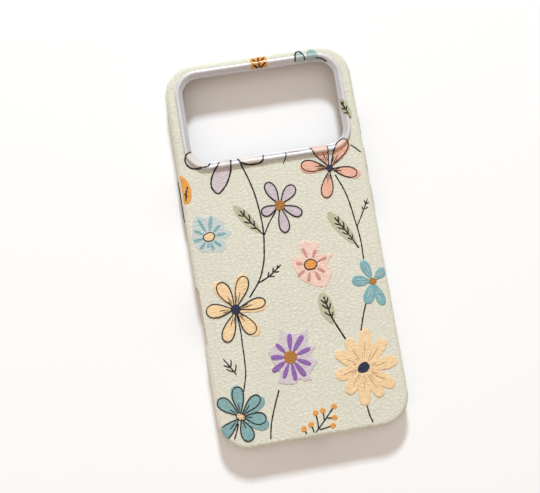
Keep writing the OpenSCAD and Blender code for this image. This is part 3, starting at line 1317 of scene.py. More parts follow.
@dataclass(frozen=True)
class EdgeMotifs:
    """Motifs that the camera window and the case's edge cut off."""

    def marks(self) -> Iterator[Mark]:
        """Leaf block, clipped petals and short lines near the ring."""
        yield from self.leaf_block()
        yield from self.blue_petals()
        yield from self.lilac_petals()
        yield from self.side_leaf()
        twigs = ((0.2, 38, 2.0), (0.45, -36, 2.0), (0.5, 40, 1.8), (0.75, -36, 1.6))
        sprig = Sprig(((37.3, 49.6), (35.6, 53.4), (34.2, 57.4)), twigs, 0.5)
        yield from Leaf((37.6, 49.2), (33.4, 58.8), 4.4, sprig).marks()
        yield Stroke(Ink.LINE, 3, curve_through([(35.1, 38.0), (37.0, 36.2), (39.2, 33.8)]), 0.46)
        yield Stroke(Ink.LINE, 3, curve_through([(6.5, 38.9), (6.4, 36.9), (4.7, 34.0)]), 0.42, taper=0.5)
        shade = curve_through([(7.0, 37.8), (10.0, 38.4), (13.0, 37.8)])
        yield Stroke(Ink.RUSSET, 3, shade, 0.22, taper=0.8, thin=0.3)

    def leaf_block(self) -> Iterator[Mark]:
        """Orange block with a dark branching vein, over the ring's far side."""
        corners = ((-1.9, 77.0), (1.6, 76.8), (5.1, 77.0), (5.3, 79.8), (5.2, 82.6), (1.8, 82.8),
                   (-1.8, 82.6), (-2.0, 79.8))
        yield Patch(Ink.ORANGE, 1, np.array(corners))
        for y in (77.7, 80.5):
            for x, rise in ((1.7, 2.3), (-1.0, 1.6), (4.5, 1.9)):
                yield Stroke(Ink.LINE, 3, curve_through([(1.5, y - 0.3), ((1.5 + x) / 2, y + rise / 3),
                                                         (x, y + rise)], 0.3), 0.6, taper=0.3)

    def blue_petals(self) -> Iterator[Mark]:
        """Two teal petals over the ring and a dark line on its slope."""
        yield Patch(Ink.TEAL, 1, petal_outline((19.9, 72.0), 90, 10.8, 4.3, 0.0, 0.85), 0.3)
        yield Stroke(Ink.LINE, 3, petal_outline((19.7, 72.0), 91, 10.8, 4.2, 0.0, 0.85), 0.6, closed=True)
        yield Patch(Ink.TEAL, 1, petal_outline((24.9, 72.0), 88, 11.0, 5.4, 0.0, 0.7), 0.15)
        yield Patch(Ink.TEAL, 1, petal_outline((26.2, 78.2), -24, 5.4, 1.5, 0.0))
        yield Stroke(Ink.LINE, 3, curve_through([(26.4, 78.5), (29.2, 77.8), (31.4, 76.0)]), 0.4, taper=0.6)

    def lilac_petals(self) -> Iterator[Mark]:
        """Three petals of a flower whose middle falls in the window."""
        corner = ((-33.0, 45.6), (-36.2, 43.8), (-36.8, 41.2), (-35.4, 38.8), (-33.2, 37.8), (-30.2, 37.7),
                  (-27.0, 38.2), (-26.0, 42.5), (-29.0, 46.5))
        middle = ((-17.6, 38.0), (-18.4, 33.9), (-21.1, 28.8), (-24.9, 25.6), (-27.2, 28.1), (-27.2, 31.4),
                  (-25.2, 35.5), (-22.8, 38.2), (-22.4, 42.0), (-17.4, 42.0))
        last = ((-14.0, 38.2), (-12.4, 36.8), (-9.6, 36.0), (-6.2, 35.9), (-4.0, 36.6), (-3.4, 38.4),
                (-3.2, 42.0), (-14.2, 42.0))
        for spots, thin in ((corner, 0.55), (middle, 0.15), (last, 0.5)):
            outline = curve_through(spots, 0.4, closed=True)
            yield Patch(Ink.LILAC, 1, outline, thin)
            yield Stroke(Ink.LINE, 3, outline, 0.62, closed=True)

    def side_leaf(self) -> Iterator[Mark]:
        """Orange leaf on the left edge, with a dark vein."""
        spots = ((-39.8, 36.0), (-37.6, 33.4), (-36.3, 30.1), (-36.4, 26.8), (-37.3, 24.2), (-38.8, 23.1),
                 (-41.5, 24.5), (-42.5, 30.0), (-41.5, 34.0))
        yield Patch(Ink.ORANGE, 0, curve_through(spots, 0.4, closed=True))
        yield from Sprig(((-39.2, 24.4), (-38.7, 27.2), (-37.6, 30.8)),
                         ((0.2, -30, 1.2), (0.35, 35, 1.4), (0.6, 30, 1.0)), 0.5).marks()


FLOWERS: tuple[Bloom | Burst, ...] = (
    Bloom((24.4, 29.0), Ink.PEACH,
          (Petal(-20, 12.0, 4.5, (1.2, -0.6)), Petal(-107, 13.0, 4.9, (-0.2, -0.2)),
           Petal(164, 12.4, 4.7, (-0.6, -0.8)), Petal(107, 16.0, 7.0), Petal(51, 14.4, 5.2, (0.5, -0.3))),
          Hub(Ink.NAVY, 1.5, 1.5), 0.46, (Vein(-3, 0.18, 0.46), Vein(8, 0.2, 0.36), Vein(-12, 0.2, 0.34))),
    Bloom((0.3, 16.4), Ink.LILAC,
          (Petal(111, 11.2, 4.4), Petal(46, 10.4, 4.6), Petal(-31, 10.1, 4.2), Petal(-87, 12.0, 4.3),
           Petal(196, 8.5, 4.1)),
          Hub(Ink.RUSSET, 2.4, 2.4), 0.56, (), blunt=0.6),
    Bloom((-25.7, -24.9), Ink.CREAM,
          (Petal(113, 13.3, 5.2, (-1.3, 0.5)), Petal(66, 14.6, 5.2, (-0.3, 1.0)),
           Petal(7, 13.0, 4.5, (0.1, -1.3)), Petal(-61, 12.7, 5.3, (1.4, -0.9)), Petal(-116, 14.2, 5.2),
           Petal(175, 12.4, 5.7, (-0.2, 0.2))),
          Hub(Ink.NAVY, 2.2, 2.2), 0.5),
    Bloom((-30.9, -69.5), Ink.TEAL,
          (Petal(88, 12.4, 4.8, (-0.5, 0.6)), Petal(134, 11.6, 4.9), Petal(39, 11.5, 4.4, (1.5, -1.2)),
           Petal(-15, 10.7, 4.9, (0.5, -2.5)), Petal(-77, 10.8, 5.2), Petal(217, 13.0, 5.0)),
          Hub(Ink.CREAM, 2.0, 1.4, -35.0, 0.3), 0.5, ONE_VEIN, vein_w=0.46),
    Bloom((34.2, -22.4), Ink.SKY,
          (Petal(108, 10.0, 3.8), Petal(169, 8.8, 4.7), Petal(-114, 9.9, 4.8), Petal(-75, 11.2, 3.9),
           Petal(36, 7.6, 4.0)),
          Hub(Ink.RUSSET, 1.6, 1.5), 0.0, (Vein(-6, 0.35, 0.8), Vein(7, 0.3, 0.6)), Ink.SKY, 0.35, 0.6,
          blunt=0.4),
    Bloom((23.8, -57.9), Ink.CREAM,
          (Petal(110, 13.8, 5.0), Petal(77, 16.4, 5.2), Petal(43, 15.2, 5.1), Petal(3, 14.6, 5.2),
           Petal(-40, 15.2, 5.3), Petal(-67, 14.4, 4.8), Petal(-98, 15.8, 5.2), Petal(-132, 13.1, 4.9),
           Petal(188, 12.5, 5.4), Petal(143, 13.3, 5.2)),
          Hub(Ink.NAVY, 2.9, 2.2, 27.0), 0.0, LONG_VEIN, Ink.RUSSET, 0.25, 0.35, 0.0, 0.14, 0.62, 0.2),
    Burst((-6.1, -48.5), Ink.PURPLE, 0.72,
          ((102, 12.5), (87, 10.5), (60, 11.0), (50, 14.0), (36, 10.5), (27, 9.0), (14, 11.5), (-6, 8.5),
           (-18, 11.5), (-34, 11.0), (-51, 11.0), (-57, 13.0), (-68, 12.0), (-77, 10.0), (-90, 11.5),
           (-122, 12.0), (-134, 8.0), (-165, 7.5), (160, 9.5), (140, 9.0), (117, 8.0)),
          Ink.PURPLE, ((83, 10.1), (51, 10.8), (15, 9.4), (-29, 9.4), (-61, 10.4), (-86, 10.3), (-118, 9.6),
                       (-150, 9.8), (172, 8.4), (128, 8.4)), 2.2, Hub(Ink.RUSSET, 2.85, 2.85), 2.5),
    Burst((9.0, -11.0), Ink.BLUSH, 0.0,
          ((106, 10.5), (82, 10.0), (60, 10.0), (45, 6.0), (28, 7.5), (17, 10.5), (-6, 7.5), (-32, 10.0),
           (-48, 10.5), (-67, 11.5), (-97, 9.0), (-133, 7.5), (-167, 7.0), (167, 8.5), (150, 8.5),
           (131, 5.5)),
          Ink.ROSE, ((106, 8.0), (61, 7.0), (16, 7.7), (-37, 7.1), (-68, 8.0), (-106, 7.6), (-147, 7.4),
                     (167, 6.4)), 1.5, Hub(Ink.ORANGE, 2.7, 2.1, 5.0, 0.5), 3.0),
    Burst((-31.9, 7.6), Ink.SKY, 0.62,
          ((112, 10.5), (90, 8.5), (65, 9.0), (33, 9.0), (21, 7.5), (3, 10.0), (-14, 8.0), (-23, 6.5),
           (-34, 8.5), (-61, 8.5), (-96, 6.5), (-127, 7.5), (-160, 7.0), (180, 7.5), (154, 7.5), (135, 9.0)),
          Ink.SKY, ((113, 9.3), (75, 9.2), (40, 7.2), (3, 7.6), (-47, 6.8), (-80, 6.2), (-106, 5.0),
                    (-133, 6.7), (188, 7.0), (147, 7.2)), 1.5, Hub(Ink.CREAM, 2.4, 1.8, 8.0, 0.45), 2.2, 0.0),
)

GREENERY: tuple[Leaf | Sprig | Berries, ...] = (
    Sprig(((-14.0, 38.3), (-12.0, 32.6), (-10.0, 25.0), (-8.9, 17.0), (-8.5, 9.7), (-8.7, 4.6), (-9.3, 0.0),
           (-10.3, -5.7), (-12.3, -11.4), (-14.6, -15.4), (-19.1, -20.9)), line=0.54),
    Sprig(((-1.6, 14.4), (-5.6, 9.4), (-8.5, 4.6)), line=0.46),
    Sprig(((26.2, 26.0), (28.9, 18.9), (30.4, 12.0), (31.3, 4.6), (31.9, 0.0), (32.2, -5.5), (32.0, -12.5)),
          line=0.48),
    Sprig(((31.7, 2.0), (35.0, 7.4), (38.5, 13.6)), ((0.56, 42, 2.0), (0.6, -40, 2.3), (0.78, 38, 1.9),
                                                      (0.8, -40, 1.8)), 0.42, 0.3),
    Sprig(((-25.6, -27.0), (-25.1, -34.3), (-25.3, -40.0), (-25.4, -45.7), (-26.0, -52.6), (-28.0, -59.7)),
          line=0.46),
    Sprig(((29.7, -31.0), (27.4, -36.6), (25.4, -42.6)), line=0.5),
    Sprig(((22.4, -73.5), (22.8, -77.6), (23.8, -81.2)), line=0.52),
    Sprig(((-32.2, -72.0), (-33.6, -75.6), (-35.0, -78.4)), line=0.5),
    Sprig(((-13.1, -61.1), (-16.0, -67.6), (-18.6, -74.4), (-20.0, -80.9)), line=0.5),
    Leaf((-9.6, 5.4), (-19.6, 19.4), 5.0,
         Sprig(((-8.7, 4.8), (-12.6, 10.0), (-17.2, 17.0)),
               ((0.3, 38, 2.8), (0.38, -40, 2.6), (0.52, 40, 3.4), (0.58, -38, 3.2), (0.76, 38, 3.2),
                (0.8, -38, 2.6)), 0.54)),
    Leaf((30.0, -5.6), (20.2, 10.2), 5.6,
         Sprig(((31.0, -7.6), (27.6, -0.8), (22.6, 7.6)),
               ((0.28, 34, 2.6), (0.3, -34, 2.4), (0.44, 36, 3.0), (0.46, -34, 3.0), (0.6, 36, 3.2),
                (0.64, -34, 3.2), (0.76, 36, 3.0), (0.82, -36, 2.8)), 0.54)),
    Leaf((14.0, -37.8), (11.4, -23.6), 6.4,
         Sprig(((18.4, -45.0), (15.6, -38.4), (13.8, -33.6), (12.2, -25.2)),
               ((0.55, -40, 2.6), (0.56, 36, 3.4), (0.7, -36, 3.4), (0.72, 36, 3.6), (0.84, -34, 3.0),
                (0.84, 38, 3.0)), 0.6)),
    Sprig(((-14.6, -15.4), (-9.4, -13.2), (-3.4, -9.0)),
          ((0.42, 42, 2.4), (0.46, -40, 2.6), (0.64, 42, 2.4), (0.66, -42, 2.4), (0.82, 36, 1.6)), 0.54, 0.2),
    Sprig(((-29.7, -52.2), (-31.8, -48.6), (-34.3, -44.5)),
          ((0.18, -50, 3.8), (0.2, 34, 3.6), (0.48, -46, 3.4), (0.48, 34, 3.2)), 0.48, 0.2),
    Berries((((0.6, -80.3), (0.4, -73.3)), ((3.4, -76.6), (3.6, -72.8)), ((-1.0, -81.4), (8.6, -71.8)),
             ((4.7, -76.2), (8.0, -76.4)), ((0.8, -80.4), (6.8, -79.6)), ((-1.6, -81.3), (-2.3, -77.7)),
             ((-4.8, -81.3), (-5.6, -79.0)))),
)


@dataclass(frozen=True)
class FlowerPrint:
    """The printed pattern: thin raised ink, one piece for each ink, lying on the leather and the ring."""

    view: BackView
    base_lift: float = 0.07
    level_lift: float = 0.018
    sunk: float = 0.06
    pitch: float = 0.36
    fine_pitch: float = 0.15
    bevel: float = 0.22
    line_gain: float = 1.2
    line_lift: float = 0.045
    edge_share: float = 0.25
    end_share: float = 0.3
    patch_near: float = 0.5
    line_near: float = 0.6
    wide_line: float = 0.8
    sides: int = 5
    fine_sides: int = 9
    finer: int = 4

    def _solid(self, plan: Array, lift: Array, faces: list[Array], mark: Mark, fade: float) -> Shape:
        """Slab of ink between the raised top and a bottom just under the surface.

        Args:
            plan: its points in plan.
            lift: the top's height above the surface.
            faces: its upper faces.
            mark: the mark it draws.
            fade: how much of the ink is lost on the ring, from 0 to 1.

        Returns:
            A closed thin solid.
        """
        thin, raised = mark.thin, mark.raised
        plan = self.view.keep_on(plan)
        over_ring = self.view.over_ring(plan)
        extra = self.line_lift if isinstance(mark, Stroke) else 0.0
        top, flat = self.view.drape(plan, lift * (1 + raised / self.base_lift * (1 - over_ring)) + extra)
        bottom, _ = self.view.drape(plan, np.full(len(plan), -self.sunk))
        shape = slab(top, faces, bottom)
        wash = thin + fade * over_ring * (1 - thin)
        shape.sheet = np.concatenate([flat, flat])
        # The pebble shape goes with the ink for its painted shade in the creases.
        shape.tones = {WASH: np.tile(wash, 2), GLOSS: np.tile(over_ring, 2),
                       CREASE_SHADE: np.tile(self.view.cover.grain.pebble(flat), 2)}
        return shape

    def patch(self, mark: Patch) -> Shape:
        """Fills an outline with rings about its middle.

        Ring k lies the share t_k of the way from the middle to the outline. The last ring is low, which
        rounds the ink's edge.

        Args:
            mark: the area.

        Returns:
            A closed thin solid.
        """
        outline = self.view.keep_on(resampled(mark.outline, self.fine_pitch))
        on_ring = self._near_ring(outline, self.patch_near)
        pitch = self.fine_pitch if on_ring else self.pitch
        outline = outline if on_ring else resampled(outline, self.pitch)
        middle = (outline.min(axis=0) + outline.max(axis=0)) / 2
        middle = 0.5 * middle + 0.5 * outline.mean(axis=0)
        reach = np.linalg.norm(outline - middle, axis=1)
        rings = max(2, math.ceil(float(reach.mean()) / pitch))
        share = np.concatenate([np.arange(1, rings) / rings, [1.0]])
        share[-2] = max(share[-2], 1 - self.bevel / float(reach.mean()))
        plan = middle + share[:, None, None] * (outline - middle)
        high = self.base_lift + self.level_lift * mark.level
        lift = np.full(plan.shape[:2], high)
        lift[-1] = self.edge_share * high
        n = len(outline)
        plan = np.concatenate([plan.reshape(-1, 2), middle[None]])
        lift = np.concatenate([lift.ravel(), [high]])
        quads = grid_faces(rings, n, False, True)[:, ::-1]
        ids = np.arange(n)
        fan = np.stack([np.full(n, rings * n), ids, (ids + 1) % n], axis=1)
        return self._solid(plan, lift, [quads, fan], mark, mark.ink.ring_fade)

    def stroke(self, mark: Stroke) -> Optional[Shape]:
        """Carries a low flat-topped profile along a path.

        Args:
            mark: the line.

        Returns:
            A closed thin solid, or None if the window cuts all of it away.
        """
        path = mark.path
        closed = mark.closed
        outside = self.view.on_case(path)
        if not outside.all():
            if closed:
                path = np.roll(path, -int(np.argmin(outside)), axis=0)
                outside = self.view.on_case(path)
            closed = False
            path = path[outside]
        if len(path) < 3:
            return None
        on_ring = self._near_ring(path, self.line_near)
        if on_ring:
            path = self._finer(path, closed)
        step = np.roll(path, -1, axis=0) - np.roll(path, 1, axis=0)
        if not closed:
            step[0], step[-1] = path[1] - path[0], path[-1] - path[-2]
        normal = np.stack([-step[:, 1], step[:, 0]], axis=1)
        normal /= np.maximum(np.linalg.norm(normal, axis=1, keepdims=True), TINY)
        run = np.concatenate([[0.0], np.cumsum(np.linalg.norm(np.diff(path, axis=0), axis=1))])
        full = mark.width * self.line_gain
        width = full * (1 + 0.10 * np.sin(1.3 * run + path[0, 0]) + 0.06 * np.sin(2.9 * run))
        if closed:
            width = np.full(len(path), full)
        else:
            end = np.minimum(run, run[-1] - run)
            reach = max(mark.width * 0.6, mark.taper * 0.45 * run[-1])
            width = width * (0.2 + 0.8 * np.sqrt(np.clip(end / reach, 0.0, 1.0)))
        sides = self.fine_sides if on_ring or mark.width > self.wide_line else self.sides
        across = np.linspace(-1, 1, sides)
        plan = path[:, None] + (normal * width[:, None] / 2)[:, None] * across[None, :, None]
        high = self.base_lift + self.level_lift * mark.level
        crown = np.where(np.abs(across) > 0.99, self.edge_share, 1.0)
        lift = np.broadcast_to(high * crown, plan.shape[:2]).copy()
        if not closed:
            lift[[0, -1]] *= self.end_share
        faces = grid_faces(len(path), sides, closed, False)[:, ::-1]
        return self._solid(plan.reshape(-1, 2), lift.ravel(), [faces], mark, 0.0)

    def _near_ring(self, plan: Array, margin: float) -> bool:
        """True if any point lies on the ring or within a margin of it."""
        return bool((self.view.ring.window.distance(plan) < self.view.ring.width + margin).any())

    def _finer(self, path: Array, closed: bool) -> Array:
        """The path with more points on each span, by straight blends."""
        after = np.roll(path, -1, axis=0) if closed else path[1:]
        before = path if closed else path[:-1]
        share = (np.arange(self.finer) / self.finer)[None, :, None]
        fine = (before[:, None] * (1 - share) + after[:, None] * share).reshape(-1, 2)
        return fine if closed else np.concatenate([fine, path[-1:]])

    def make(self) -> None:
        """Makes one piece for each ink."""
        layers: dict[Ink, list[Shape]] = {}
        for motif in (*FLOWERS, *GREENERY, EdgeMotifs()):
            for mark in motif.marks():
                shape = self.patch(mark) if isinstance(mark, Patch) else self.stroke(mark)
                if shape is not None:
                    layers.setdefault(mark.ink, []).append(shape)
        for ink, shapes in layers.items():
            piece = make_object(ink.value.replace("ink_", "print_"), gathered(shapes), [ink.finish])
            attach(piece, CASE)
            report(piece)


# ---------------- pieces


def report(piece: Piece) -> None:
    """Logs a piece's name and size."""
    LOG.info("%s: %d vertices, %d faces", piece.name, len(piece.data.vertices), len(piece.data.polygons))


@dataclass(frozen=True)
class LeatherCover:
    """Leather sheet bent over the back and the sides, with its window, slots and button openings."""

    surface: CoverSurface
    ring_edge: RoundedRect
    foot_z: float
    button_z: float
    pitch: float = 0.41
    side_pitch: float = 0.66
    fine_run: float = 0.8
    inner_pitch: float = 2.4
    edge_round: float = 0.1
    seam_run: float = 1.95
    seam_w: float = 0.28
    seam_depth: float = 0.16
    border_step: float = 0.8
    hole_step: float = 0.45
    edge_run: float = 0.35

    @property
    def foot_run(self) -> float:
        """Distance on the sheet from the crease to the leather's lower edge."""
        wall = self.surface.back_z - self.surface.radius - self.foot_z
        return self.surface.radius * QUARTER + wall

    @property
    def button_run(self) -> float:
        """Distance on the sheet from the crease to the buttons' middle line."""
        wall = self.surface.back_z - self.surface.radius - self.button_z
        return self.surface.radius * QUARTER + wall

    def holes(self) -> list[RoundedRect]:
        """Outlines of the openings on the flat sheet."""
        crease, run = self.surface.crease, self.button_run
        found = [self.ring_edge]
        for name in BUTTONS:
            box = NodeBox.of(name + "_gasket")
            found.append(slot_outline(box.side * (crease.half_w + run), box.middle[1], 2 * box.half[1],
                                      2 * box.half[2], True))
        for x, (length, width) in BUILD.bottom_slots:
            found.append(slot_outline(x, -(crease.half_l + run), length, width, False))
        return found

    def recess_limit(self, y: Array) -> Array:
        """How far past the crease the left side of the sheet reaches beside the recess.

        The recess is d (1 - cos u) / 2 deep, where u goes from 0 to pi along its end slope. The leather ends
        where its quarter round meets that depth, at r asin(1 - depth / r).
        """
        half, d = BUILD.recess_l / 2, BUILD.recess_d
        u = np.pi * np.clip((half - np.abs(y - BUILD.recess_y)) / BUILD.recess_slope, 0.0, 1.0)
        depth = d * (1 - np.cos(u)) / 2
        limit = self.surface.radius * np.arcsin(np.clip(1 - depth / self.surface.radius, 0.0, 1.0))
        return np.where(np.abs(y - BUILD.recess_y) < half, limit, self.foot_run)

    def border(self) -> Array:
        """Outer border of the flat sheet, with the recess let into its left side."""
        outline = self.surface.crease.grown(self.foot_run)
        points, _ = outline.walk(self.border_step)
        half = BUILD.recess_l / 2
        keep = ~((points[:, 0] < 0) & (np.abs(points[:, 1] - BUILD.recess_y) < half + 0.3))
        points = points[keep]
        cut = int(np.nonzero((points[:, 0] < 0) & (points[:, 1] < BUILD.recess_y))[0][0])
        y = BUILD.recess_y + np.linspace(half - 1e-3, 1e-3 - half, 64)
        inner = np.stack([-(self.surface.crease.half_w + self.recess_limit(y)), y], axis=1)
        run = np.linspace(self.foot_run, self.surface.radius * QUARTER, 18)[:-1]
        side = -(self.surface.crease.half_w + run)
        upper = np.stack([side, np.full(len(run), BUILD.recess_y + half)], axis=1)
        lower = np.stack([side[::-1], np.full(len(run), BUILD.recess_y - half)], axis=1)
        return np.concatenate([points[:cut], upper, inner, lower, points[cut:]])

    def room(self, q: Array) -> Array:
        """Distance from the nearest border, positive on the leather."""
        crease = self.surface.crease
        space = -crease.grown(self.foot_run).distance(q)
        for hole in self.holes():
            space = np.minimum(space, hole.distance(q))
        beside = (q[:, 0] < -crease.half_w) & (np.abs(q[:, 1] - BUILD.recess_y) < BUILD.recess_l / 2)
        past = -q[:, 0] - crease.half_w
        inside = self.recess_limit(q[:, 1]) - past
        space = np.where(beside, np.minimum(space, inside), space)
        strip = (q[:, 0] < -crease.half_w - self.surface.radius) & ~beside
        end = np.abs(q[:, 1] - BUILD.recess_y) - BUILD.recess_l / 2
        return np.where(strip & (end > 0), np.minimum(space, end), space)

    def seam(self, q: Array) -> Array:
        """Depth of the fine line pressed round the back, just past the print's limit: a narrow bell curve."""
        run = self.surface.crease.distance(q)
        return self.seam_depth * np.exp(-(((run - self.seam_run) / self.seam_w) ** 2))

    def make(self) -> Piece:
        """Makes the cover: a fine pebbled outside, a plain inside and a wall along every border."""
        loops = [self.border()] + [hole.walk(self.hole_step)[0][::-1] for hole in self.holes()]
        back = self.surface.crease.grown(self.fine_run)
        zones = [(self.pitch, lambda q: -back.distance(q)), (self.side_pitch, back.distance)]
        points, faces = triangulate(loops, self.room, zones)
        under, under_faces = triangulate(loops, self.room, [(self.inner_pitch, lambda q: np.ones(len(q)))])
        grain = self.surface.grain.height(points) - self.seam(points)
        rounding = self.edge_round * np.exp(-((self.room(points) / self.edge_run) ** 2))
        top = self.surface.place(points, grain - rounding)
        bottom = self.surface.place(under, np.full(len(under), -BUILD.cover_t))
        shape = slab(top, [faces], bottom, [under_faces])
        shape.sheet = np.concatenate([points, under])
        # Pebble shape for the painted shade in the creases; the inside gets none.
        shape.tones = {CREASE_SHADE: np.concatenate([self.surface.grain.pebble(points), np.ones(len(under))])}
        piece = make_object("cover_leather", shape, [LEATHER])
        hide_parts("leather_cover")
        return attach(piece, CASE)


@dataclass(frozen=True)
class CameraRing:
    """Plated ring round the camera window, with a collar that goes through the back plate."""

    surface: RingSurface
    collar_z: float
    flange_z: float
    collar_round: float = 0.15
    collar_cut: float = 0.1
    spacing: float = 0.45

    def profile(self) -> Array:
        """Closed section: over the top from outside to inside, down the window wall and back under."""
        width = self.surface.width
        e = np.concatenate([
            width - self.surface.shoulder * (1 - np.cos(np.linspace(0, QUARTER, 22))),
            np.linspace(width - self.surface.shoulder, self.surface.crest_in, 6)[1:],
            np.linspace(self.surface.crest_in, self.surface.sill, 20)[1:],
            self.surface.sill * (1 - np.sin(np.linspace(0, QUARTER, 8)))[1:],
        ])
        top = np.stack([e, self.surface.height(e)], axis=1)
        foot, collar, cut = self.collar_z, BUILD.collar_w, self.collar_cut
        low = np.array([[0.0, foot + self.collar_round], [self.collar_round, foot], [collar - cut, foot],
                        [collar, foot + cut], [collar, self.flange_z], [width, self.flange_z]])
        return np.concatenate([top, low])

    def make(self) -> Piece:
        """Makes the ring by carrying its section round the window."""
        shape = sweep(self.surface.window, self.profile()[::-1], self.spacing)
        piece = make_object("ring_plated", shape, [RING_PLATING], 40.0)
        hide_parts("camera_ring")
        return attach(piece, CASE)


@dataclass(frozen=True)
class SoftFrame:
    """Soft side frame with the front lip, the foot and every cut-out."""

    pocket: RoundedRect
    plate_z: float
    skin_z: float
    foot_z: float
    button_z: float
    mouth_r: float = 0.35
    lip_r: float = 0.3
    front_r: float = 0.45
    foot_r: float = 1.0
    ledge_r: float = 0.15
    inside: float = -2.0
    outside: float = 4.0
    window_floor: float = 0.3
    seat_floor: float = 0.75
    seat_room: float = 0.4
    slot_step: float = 0.4
    section_step: float = 1.1
    soften_w: float = 0.14
    soften_deg: float = 50.0
    sharp_deg: float = 35.0

    def profile(self) -> Array:
        """Closed section of the wall, with rounded lip, foot and top edges."""
        wall, out = BUILD.frame_wall, BUILD.frame_wall + BUILD.cover_t
        edge_d = out - BUILD.edge_r
        radius = BUILD.edge_r - BUILD.cover_t
        edge_z = self.skin_z - radius
        low, reach = BUILD.lip_t, BUILD.lip_reach
        return np.concatenate([
            arc(self.mouth_r, low + self.mouth_r, self.mouth_r, 180, 270, 4)[::-1] - (self.mouth_r, 0.0),
            arc(self.lip_r - reach, low - self.lip_r, self.lip_r, 90, 180, 4),
            arc(self.front_r - reach, self.front_r, self.front_r, 180, 270, 6),
            arc(out - self.foot_r, self.foot_r, self.foot_r, 270, 360, 12),
            arc(out - self.ledge_r, self.foot_z - self.ledge_r, self.ledge_r, 0, 90, 3),
            [[wall, self.foot_z]],
            arc(edge_d, edge_z, radius, 0, 90, 10),
            [[edge_d, self.plate_z], [0.0, self.plate_z - 0.01]],
        ])

    def _cutter(self, outline: Array, start: float, end: float,
                place: Callable[[Array], Array]) -> Piece:
        """Prism on an outline, for cutting.

        Args:
            outline: closed, anticlockwise.
            start: lower height.
            end: upper height.
            place: turns local points into the case's frame.

        Returns:
            A mesh object.
        """
        n = len(outline)
        points = np.concatenate([np.column_stack([outline, np.full(n, z)]) for z in (start, end)])
        faces = [grid_faces(2, n, False, True), np.arange(n)[None, ::-1], n + np.arange(n)[None]]
        return make_object("cutter", Shape(place(points), faces), [FRAME_RUBBER])

    def on_side(self, side: float, y: float) -> Callable[[Array], Array]:
        """Maps (along, up, outwards) at a place on a side wall."""
        return lambda p: np.column_stack([side * (self.pocket.half_w + p[:, 2]), y + side * p[:, 0],
                                          self.button_z + p[:, 1]])

    def on_bottom(self, x: float) -> Callable[[Array], Array]:
        """Maps (along, up, outwards) at a place on the bottom wall."""
        return lambda p: np.column_stack([x + p[:, 0], -self.pocket.half_l - p[:, 2],
                                          self.button_z + p[:, 1]])

    def cutters(self) -> list[Piece]:
        """Prisms for the button windows and their seats, the slots and the recess."""
        found = []
        step, deep, far = self.slot_step, self.inside, self.outside
        for name in BUTTONS:
            gasket, plunger = NodeBox.of(name + "_gasket"), NodeBox.of(name + "_plunger")
            place = self.on_side(gasket.side, gasket.middle[1])
            window, seat = face_outline(gasket), face_outline(plunger, self.seat_room)
            found.append(self._cutter(window.walk(step)[0], self.window_floor, far, place))
            found.append(self._cutter(seat.walk(step)[0], deep, self.seat_floor, place))
        for x, (length, width) in BUILD.bottom_slots:
            outline = slot_outline(0, 0, length, width, False)
            found.append(self._cutter(outline.walk(step)[0], deep, far, self.on_bottom(x)))
        length, width = BUILD.recess_slot
        outline = slot_outline(0, 0, length, width, False)
        found.append(self._cutter(outline.walk(step)[0], deep, far, self.on_side(-1.0, BUILD.recess_y)))
        face = -(self.pocket.half_w + BUILD.frame_wall + BUILD.cover_t)
        u = np.linspace(0, 1, 14)
        half = BUILD.recess_l / 2
        x = face + BUILD.recess_d * (1 - np.cos(np.pi * u)) / 2
        upper = np.stack([x, BUILD.recess_y + half - BUILD.recess_slope * u], axis=1)
        lower = np.stack([x, BUILD.recess_y - half + BUILD.recess_slope * u], axis=1)[::-1]
        ends = np.array([[face - far, BUILD.recess_y - half], [face - far, BUILD.recess_y + half]])
        recess = np.concatenate([upper, lower, ends])[::-1]
        found.append(self._cutter(recess, deep, 5 * far, lambda p: p))
        return found

    def make(self) -> Piece:
        """Makes the frame: the swept wall less its cut-outs, with its edges softened."""
        piece = make_object("frame_soft", sweep(self.pocket, self.profile(), self.section_step),
                            [FRAME_RUBBER], self.sharp_deg)
        tools = self.cutters()
        for tool in tools:
            cut = piece.modifiers.new("cut", "BOOLEAN")
            cut.operation, cut.solver, cut.object = "DIFFERENCE", "EXACT", tool
        soften = piece.modifiers.new("soften", "BEVEL")
        soften.width, soften.segments, soften.limit_method = self.soften_w * MM, 2, "ANGLE"
        soften.angle_limit = math.radians(self.soften_deg)
        bpy.context.view_layer.update()
        graph = bpy.context.evaluated_depsgraph_get()
        done = bpy.data.meshes.new_from_object(piece.evaluated_get(graph))
        piece.modifiers.clear()
        piece.data = done
        for tool in tools:
            bpy.data.objects.remove(tool)
        done.polygons.foreach_set("use_smooth", np.ones(len(done.polygons), bool))
        done.set_sharp_from_angle(angle=math.radians(self.sharp_deg))
        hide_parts("bumper_frame")
        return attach(piece, CASE)


@dataclass(frozen=True)
class Lining:
    """Brushed microfibre sheet inside the case, with an uneven nap."""

    pocket: RoundedRect
    window: RoundedRect
    low_z: float
    high_z: float
    pitch: float = 0.9
    slack: float = 0.03
    window_gap: float = 0.2
    edge_drop: float = 0.12
    edge_run: float = 0.5

    def make(self) -> Piece:
        """Makes the sheet: flat against the plate, with the nap on the phone's side."""
        edge, hole = self.pocket.grown(-self.slack), self.window.grown(self.window_gap)
        loops = [edge.walk(self.pitch)[0], hole.walk(self.pitch)[0][::-1]]

        def room(q: Array) -> Array:
            """Distance from the nearest border, positive on the sheet."""
            return np.minimum(-edge.distance(q), hole.distance(q))

        points, faces = triangulate(loops, room, [(self.pitch, lambda q: np.ones(len(q)))])
        nap = 0.05 * value_noise(points, 2.2, 11) + 0.04 * value_noise(points * (1.0, 0.3), 4.0, 12)
        nap += self.edge_drop * np.exp(-np.maximum(room(points), 0) / self.edge_run)
        top = np.column_stack([points, np.full(len(points), self.high_z)])
        bottom = np.column_stack([points, self.low_z + nap])
        piece = make_object("lining_microfibre", slab(top, [faces], bottom), [LINING_SUEDE])
        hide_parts("microfibre_lining")
        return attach(piece, CASE)


